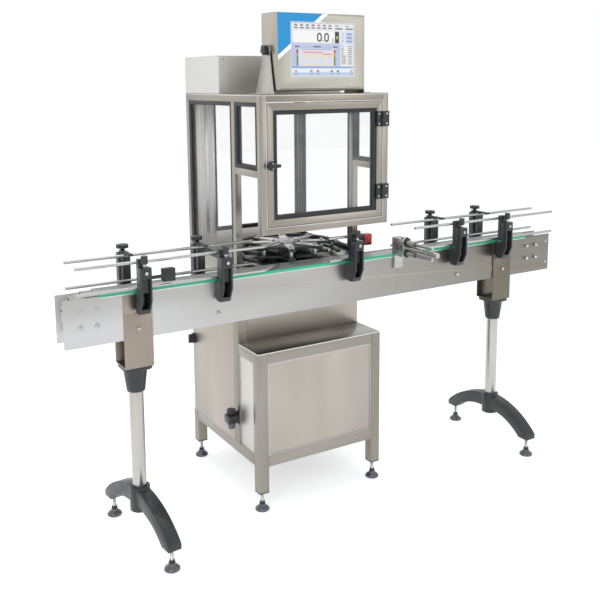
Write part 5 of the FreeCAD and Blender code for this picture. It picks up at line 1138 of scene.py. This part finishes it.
    def side_columns(self) -> None:
        """Two columns of small text-like marks at the right."""
        self.plate(0.785, 0.40, 0.985, 0.81, "#eff0f4", 2)
        for k in range(10):
            v = 0.42 + k * 0.037
            tint = "#8c7a78" if k % 3 else "#b09a96"
            self.plate(0.795, v, 0.795 + (0.075 if k > 4 else 0.035), v + 0.018, tint, 3)
            self.plate(0.905, v, 0.97, v + 0.018, "#97908f", 3)

    def bottom_bar(self) -> None:
        """Bar of small coloured marks along the bottom."""
        self.plate(0.01, 0.86, 0.99, 0.925, "#f2f5fb", 2)
        self.plate(0.01, 0.925, 0.99, 0.985, "#bdd2f2", 2)
        marks = ((0.05, "#c79a2c"), (0.29, "#8f938c"), (0.395, "#d63a34"), (0.62, "#6d7866"), (0.72, "#3f7a3a"),
                 (0.945, "#bcae4e"))
        for u, tint in marks:
            self.plate(u, 0.885, u + 0.035, 0.92, tint, 3)
            self.plate(u, 0.945, u + 0.045, 0.962, "#7486a6", 3)


@dataclass
class Terminal:
    """Operator terminal in its tilting yoke."""

    front: float = -184.5
    lid_line: tuple[float, float, float, float] = (-300.0, 46.0, 1549.0, 1550.6)
    catch: tuple[float, float, float, float] = (-8.0, 4.0, 1556.0, 1562.0)
    glass: tuple[float, float, float, float] = (-253.0, 13.0, 1591.0, 1779.0)

    def build(self) -> None:
        """Build case, film, display, yoke and knobs."""
        shape = Shape()
        shape.cad("terminal_case", only(CASE), 1.2, 3)
        self.film(shape)
        # painted shade: a dark line in the seam under the lid
        x0, x1, z0, z1 = self.lid_line
        shape.box((x0, self.front - 0.2, z0), (x1, self.front + 0.2, z1), DARK_MARK_AND_GAP_SHADE, 0.0)
        x0, x1, z0, z1 = self.catch
        shape.box((x0, self.front - 1.6, z0), (x1, self.front, z1), BRIGHT, 0.4)
        self.bezel(shape)
        shape.place("terminal_case_skin", "terminal", "brushed_stainless", "terminal_case")
        Display().build()
        skins("brushed_stainless", COOL_Z, terminal_bracket=0.8)
        skins("black_polyamide", BLACK_PLUG, tilt_knob_left=1.0, tilt_knob_right=1.0)

    def film(self, shape: Shape) -> None:
        """Printed corner film: blue field and white stripe, without lettering."""
        y = self.front - 0.35
        blue = [(-307.0, 1810.0), (-122.0, 1810.0), (-160.0, 1780.0), (-254.0, 1780.0), (-254.0, 1706.0),
                (-305.0, 1666.0)]
        upper = [(-122.0, 1810.0), (-99.0, 1810.0), (-137.5, 1780.0), (-160.0, 1780.0)]
        lower = [(-254.0, 1706.0), (-254.0, 1689.0), (-305.0, 1649.0), (-305.0, 1666.0)]
        for outline, finish in ((blue, BLUE), (upper, WHITE_FILM), (lower, WHITE_FILM)):
            shape.prism([(x, y, z) for x, z in outline], (0.0, 0.35, 0.0), finish)

    def bezel(self, shape: Shape) -> None:
        """Thin gasket line round the display."""
        x0, x1, z0, z1 = self.glass
        w, y = 1.2, self.front - 0.45
        outer = [(x0 - w, z0 - w), (x1 + w, z0 - w), (x1 + w, z1 + w), (x0 - w, z1 + w)]
        inner = [(x0, z0), (x1, z0), (x1, z1), (x0, z1)]
        shape.band(outer, inner, y, 0.5, WHITE_FILM)


@dataclass
class Guides:
    """Guide brackets, clamps, rails and their knobs."""

    rails: tuple[str, ...] = ("rails_infeed_front", "rails_infeed_rear", "rails_outfeed_front",
                              "rails_outfeed_rear")
    clamps: tuple[str, ...] = ("clamps_infeed_front", "clamps_infeed_rear", "clamps_outfeed_front",
                               "clamps_outfeed_rear")

    def build(self) -> None:
        """Build every guide piece."""
        CadPiece("guide_brackets", "black_polyamide", self.bracket_finish, 0.9).build()
        for node in self.rails:
            skins("bright_steel", BRIGHT, **{node: 0.4})
        for node in self.clamps:
            CadPiece(node, "black_polyamide", self.clamp_finish, 0.8).build()
        CadPiece("centre_guide", "bright_steel", self.centre_finish, 0.6).build()
        for k in range(1, 5):
            skins("black_polyamide", POLYAMIDE, **{f"guide_knob_{k}": 1.0})

    def bracket_finish(self, low: Vector, high: Vector) -> Finish:
        """Bright metal for small hardware, dark plastic for the rest."""
        size = high - low
        return ZINC if max(size) < 20.0 else POLYAMIDE

    def clamp_finish(self, low: Vector, high: Vector) -> Finish:
        """Bright metal for the cross rods, dark plastic for clamps and flat bars."""
        size = high - low
        return BRIGHT if 10.0 < min(size.x, size.z) < 17.0 and size.y > 30.0 else POLYAMIDE

    def centre_finish(self, low: Vector, high: Vector) -> Finish:
        """Dark plastic only for the tall clamp."""
        return POLYAMIDE if high.z - low.z > 90.0 else BRIGHT


@dataclass
class StarWheel:
    """Star discs, hub, fixed outer guide, weighing plate and sensors."""

    cap_ends: tuple[tuple[Point, Point], ...] = (
        ((129.7, -65.8, 929.7), (150.0, -35.2, 974.3)), ((158.0, -65.8, 929.7), (178.0, -35.2, 941.0)))

    def build(self) -> None:
        """Build every piece of the star wheel section."""
        shape = Shape()
        shape.cad("star_discs", only(STAR_PLASTIC), 1.0)
        shape.place("star_discs_skin", "star_wheel", "black_polyamide", "star_discs")
        CadPiece("star_hub", "bright_steel", self.hub_finish, 0.6).build()
        CadPiece("outer_guide", "black_polyamide", self.guide_finish, 0.8).build()
        skins("bright_steel", SHEET, weigh_platform=0.6)
        self.sensors()

    def guide_finish(self, low: Vector, high: Vector) -> Finish:
        """Bright posts between dark guide plates."""
        return BRIGHT if high.x - low.x < 20.0 else STAR_PLASTIC

    def hub_finish(self, low: Vector, high: Vector) -> Finish:
        """Pale ground sector plates, bright turned hub and posts."""
        return PALE_STEEL_AND_HIGHLIGHT if high.z - low.z < 4.0 else BRIGHT

    def sensors(self) -> None:
        """Black infeed head on its arm; outfeed head with a red cap over black ends."""
        shape = Shape()
        shape.cad("photo_sensors", self.sensor_finish, 1.0)
        for low, high in self.cap_ends:
            shape.box(low, high, BLACK_PLUG, 0.6)
        shape.place("photo_sensors_skin", "machine", "red_sensor", "photo_sensors")

    def sensor_finish(self, low: Vector, high: Vector) -> Finish:
        """Red cap at the outfeed, bright angle below it, black elsewhere."""
        if low.x > 100.0 and high.x > 180.0:
            return RED
        return BRIGHT if high.z - low.z > 80.0 else BLACK_PLUG


@dataclass
class Pusher:
    """Reject pusher: housing and slide."""

    x: float = 235.0
    face: float = -224.5
    tube_end: float = -277.5
    rods: tuple[float, float] = (916.0, 958.0)
    tube_seal: tuple[float, float] = (6.4, 9.6)
    block_seal: tuple[float, float] = (11.0, 17.5)
    half_width: float = 20.3
    groove_length: float = 52.0
    groove_step: float = 6.0
    screw_step: float = 11.0
    screw_z: float = 972.0

    def build(self) -> None:
        """Build both pusher pieces, the housing with seal rings, two grooves drawn as dark strips of painted shade,
        and two black screws.
        """
        shape = Shape()
        shape.cad("pusher_housing", only(BRIGHT), 0.8)
        for z in self.rods:
            self.ring(shape, z, *self.tube_seal, self.tube_end - 1.6)
            self.ring(shape, z, *self.block_seal, self.face - 1.2)
        middle, y = sum(self.rods) / 2, self.face + 1.0
        left, right = self.x - self.half_width, self.x + self.half_width
        # painted shade: dark strips where the grooves are
        for z in (middle - self.groove_step, middle + self.groove_step):
            shape.box((left, y, z - 1.0), (right, y + self.groove_length, z + 1.0), DARK_MARK_AND_GAP_SHADE, 0.2)
        for x in (self.x - self.screw_step, self.x + self.screw_step):
            shape.rod((x, self.face + 14.0, self.screw_z), Axis.Z, 5.0, 3.0, BLACK_PLUG, 0.6, 16)
        shape.place("pusher_housing_skin", "machine", "bright_steel", "pusher_housing")
        skins("bright_steel", BRIGHT, pusher_slide=0.6)

    def ring(self, shape: Shape, z: float, inner: float, outer: float, front: float) -> None:
        """Black seal ring round a rod.

        Args:
            shape: shape that takes it.
            z: height of the rod.
            inner: inner radius.
            outer: outer radius.
            front: Y of its front face.
        """
        sides = 28
        angles = [math.tau * k / sides for k in range(sides)]
        loops = [[(self.x + r * math.cos(a), z + r * math.sin(a)) for a in angles] for r in (outer, inner)]
        shape.band(loops[0], loops[1], front, 1.5, BLACK_PLUG)


@dataclass
class Studio:
    """Camera, soft lights, pale floor and white surroundings; angles in radians, lamps in metres and watts."""

    eye: tuple[float, float, float] = (-1.7464, -2.7167, 1.5749)
    yaw: float = 0.542
    pitch: float = 0.153
    roll: float = -0.007
    lens: float = 50.0
    shift: float = -0.15
    lamps: tuple[tuple[str, Point, Point, float, float], ...] = (
        ("key_softbox", (-3.6, -3.4, 3.4), (0.0, 0.0, 0.9), 2.6, 70.0),
        ("fill_softbox", (2.8, -4.2, 2.2), (0.2, 0.0, 0.8), 2.4, 22.0),
        ("top_softbox", (0.0, 0.6, 4.2), (0.0, 0.0, 0.9), 3.0, 40.0),
        ("left_kicker", (-2.6, 3.6, 2.0), (-0.3, 0.0, 1.2), 2.4, 9.0))

    def build(self) -> None:
        """Set the whole stage."""
        scene = bpy.context.scene
        scene.view_settings.view_transform = "Standard"
        self.camera()
        self.surroundings()
        self.floor()
        for row in self.lamps:
            self.lamp(*row)

    def camera(self) -> None:
        """Camera fitted to the view, with no depth of field."""
        sy, cy = math.sin(self.yaw), math.cos(self.yaw)
        sp, cp = math.sin(self.pitch), math.cos(self.pitch)
        ahead = Vector((sy * cp, cy * cp, -sp))
        level = Vector((cy, -sy, 0.0))
        upright = level.cross(ahead)
        cr, sr = math.cos(self.roll), math.sin(self.roll)
        right = cr * level + sr * upright
        up = -sr * level + cr * upright
        data = bpy.data.cameras.new("camera")
        data.sensor_width = 36.0
        data.lens = self.lens
        data.shift_y = self.shift
        data.clip_end = 50.0
        turn = Matrix((right, up, -ahead)).transposed().to_4x4()
        lens_object = bpy.data.objects.new("camera", data)
        lens_object.matrix_world = Matrix.Translation(self.eye) @ turn
        bpy.context.scene.collection.objects.link(lens_object)
        bpy.context.scene.camera = lens_object

    def surroundings(self) -> None:
        """World that looks white to camera, mirror and clear rays and lights softly otherwise."""
        world = bpy.data.worlds.new("white_studio")
        world.use_nodes = True
        tree = world.node_tree
        tree.nodes.clear()
        seen = add_node(tree, "ShaderNodeBackground", Color=(1.0, 1.0, 1.0, 1.0), Strength=1.0)
        felt = add_node(tree, "ShaderNodeBackground", Color=(0.92, 0.96, 1.0, 1.0), Strength=0.55)
        path = add_node(tree, "ShaderNodeLightPath")
        first = add_node(tree, "ShaderNodeMath", {"operation": "MAXIMUM"}, i0=path.outputs["Is Camera Ray"],
                         i1=path.outputs["Is Glossy Ray"])
        both = add_node(tree, "ShaderNodeMath", {"operation": "MAXIMUM"}, i0=first.outputs[0],
                        i1=path.outputs["Is Transmission Ray"])
        mix = add_node(tree, "ShaderNodeMixShader", i0=both.outputs[0], i1=felt.outputs[0], i2=seen.outputs[0])
        output = add_node(tree, "ShaderNodeOutputWorld")
        tree.links.new(mix.outputs[0], output.inputs["Surface"])
        bpy.context.scene.world = world

    def floor(self) -> None:
        """Wide pale floor that stays near white."""
        part = bmesh.new()
        bmesh.ops.create_grid(part, x_segments=1, y_segments=1, size=14.0)
        data = bpy.data.meshes.new("studio_floor")
        part.to_mesh(data)
        part.free()
        material = bpy.data.materials.new("paper_backdrop_matt_white")
        material.use_nodes = True
        shader = material.node_tree.nodes["Principled BSDF"]
        shader.inputs["Base Color"].default_value = (0.9, 0.9, 0.9, 1.0)
        shader.inputs["Roughness"].default_value = 0.95
        shader.inputs["Emission Color"].default_value = (1.0, 1.0, 1.0, 1.0)
        shader.inputs["Emission Strength"].default_value = 0.55
        data.materials.append(material)
        ground = bpy.data.objects.new("studio_floor", data)
        ground.location.z = -0.0005
        bpy.context.scene.collection.objects.link(ground)

    def lamp(self, name: str, place: Point, aim: Point, size: float, power: float) -> None:
        """Square softbox that faces a point.

        Args:
            name: its name.
            place: its position in metres.
            aim: the point it faces.
            size: its side in metres.
            power: its power in watts.
        """
        data = bpy.data.lights.new(name, "AREA")
        data.shape = "SQUARE"
        data.size = size
        data.energy = power
        lamp = bpy.data.objects.new(name, data)
        lamp.visible_camera = False
        facing = Vector(aim) - Vector(place)
        lamp.matrix_world = Matrix.Translation(place) @ facing.to_track_quat("-Z", "Y").to_matrix().to_4x4()
        bpy.context.scene.collection.objects.link(lamp)


def main() -> None:
    """Build every sub-assembly in order, then set the studio."""
    logging.basicConfig(level=logging.INFO, format="%(name)s: %(message)s")
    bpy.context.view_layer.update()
    parts: list[Any] = [Conveyor(), Cabinet(), Guard(), Door(), Terminal(), Guides(), StarWheel(), Pusher()]
    for part in parts:
        LOG.info("building %s", type(part).__name__)
        part.build()
    Studio().build()
    LOG.info("boxes written")


if __name__ == "__main__":
    main()
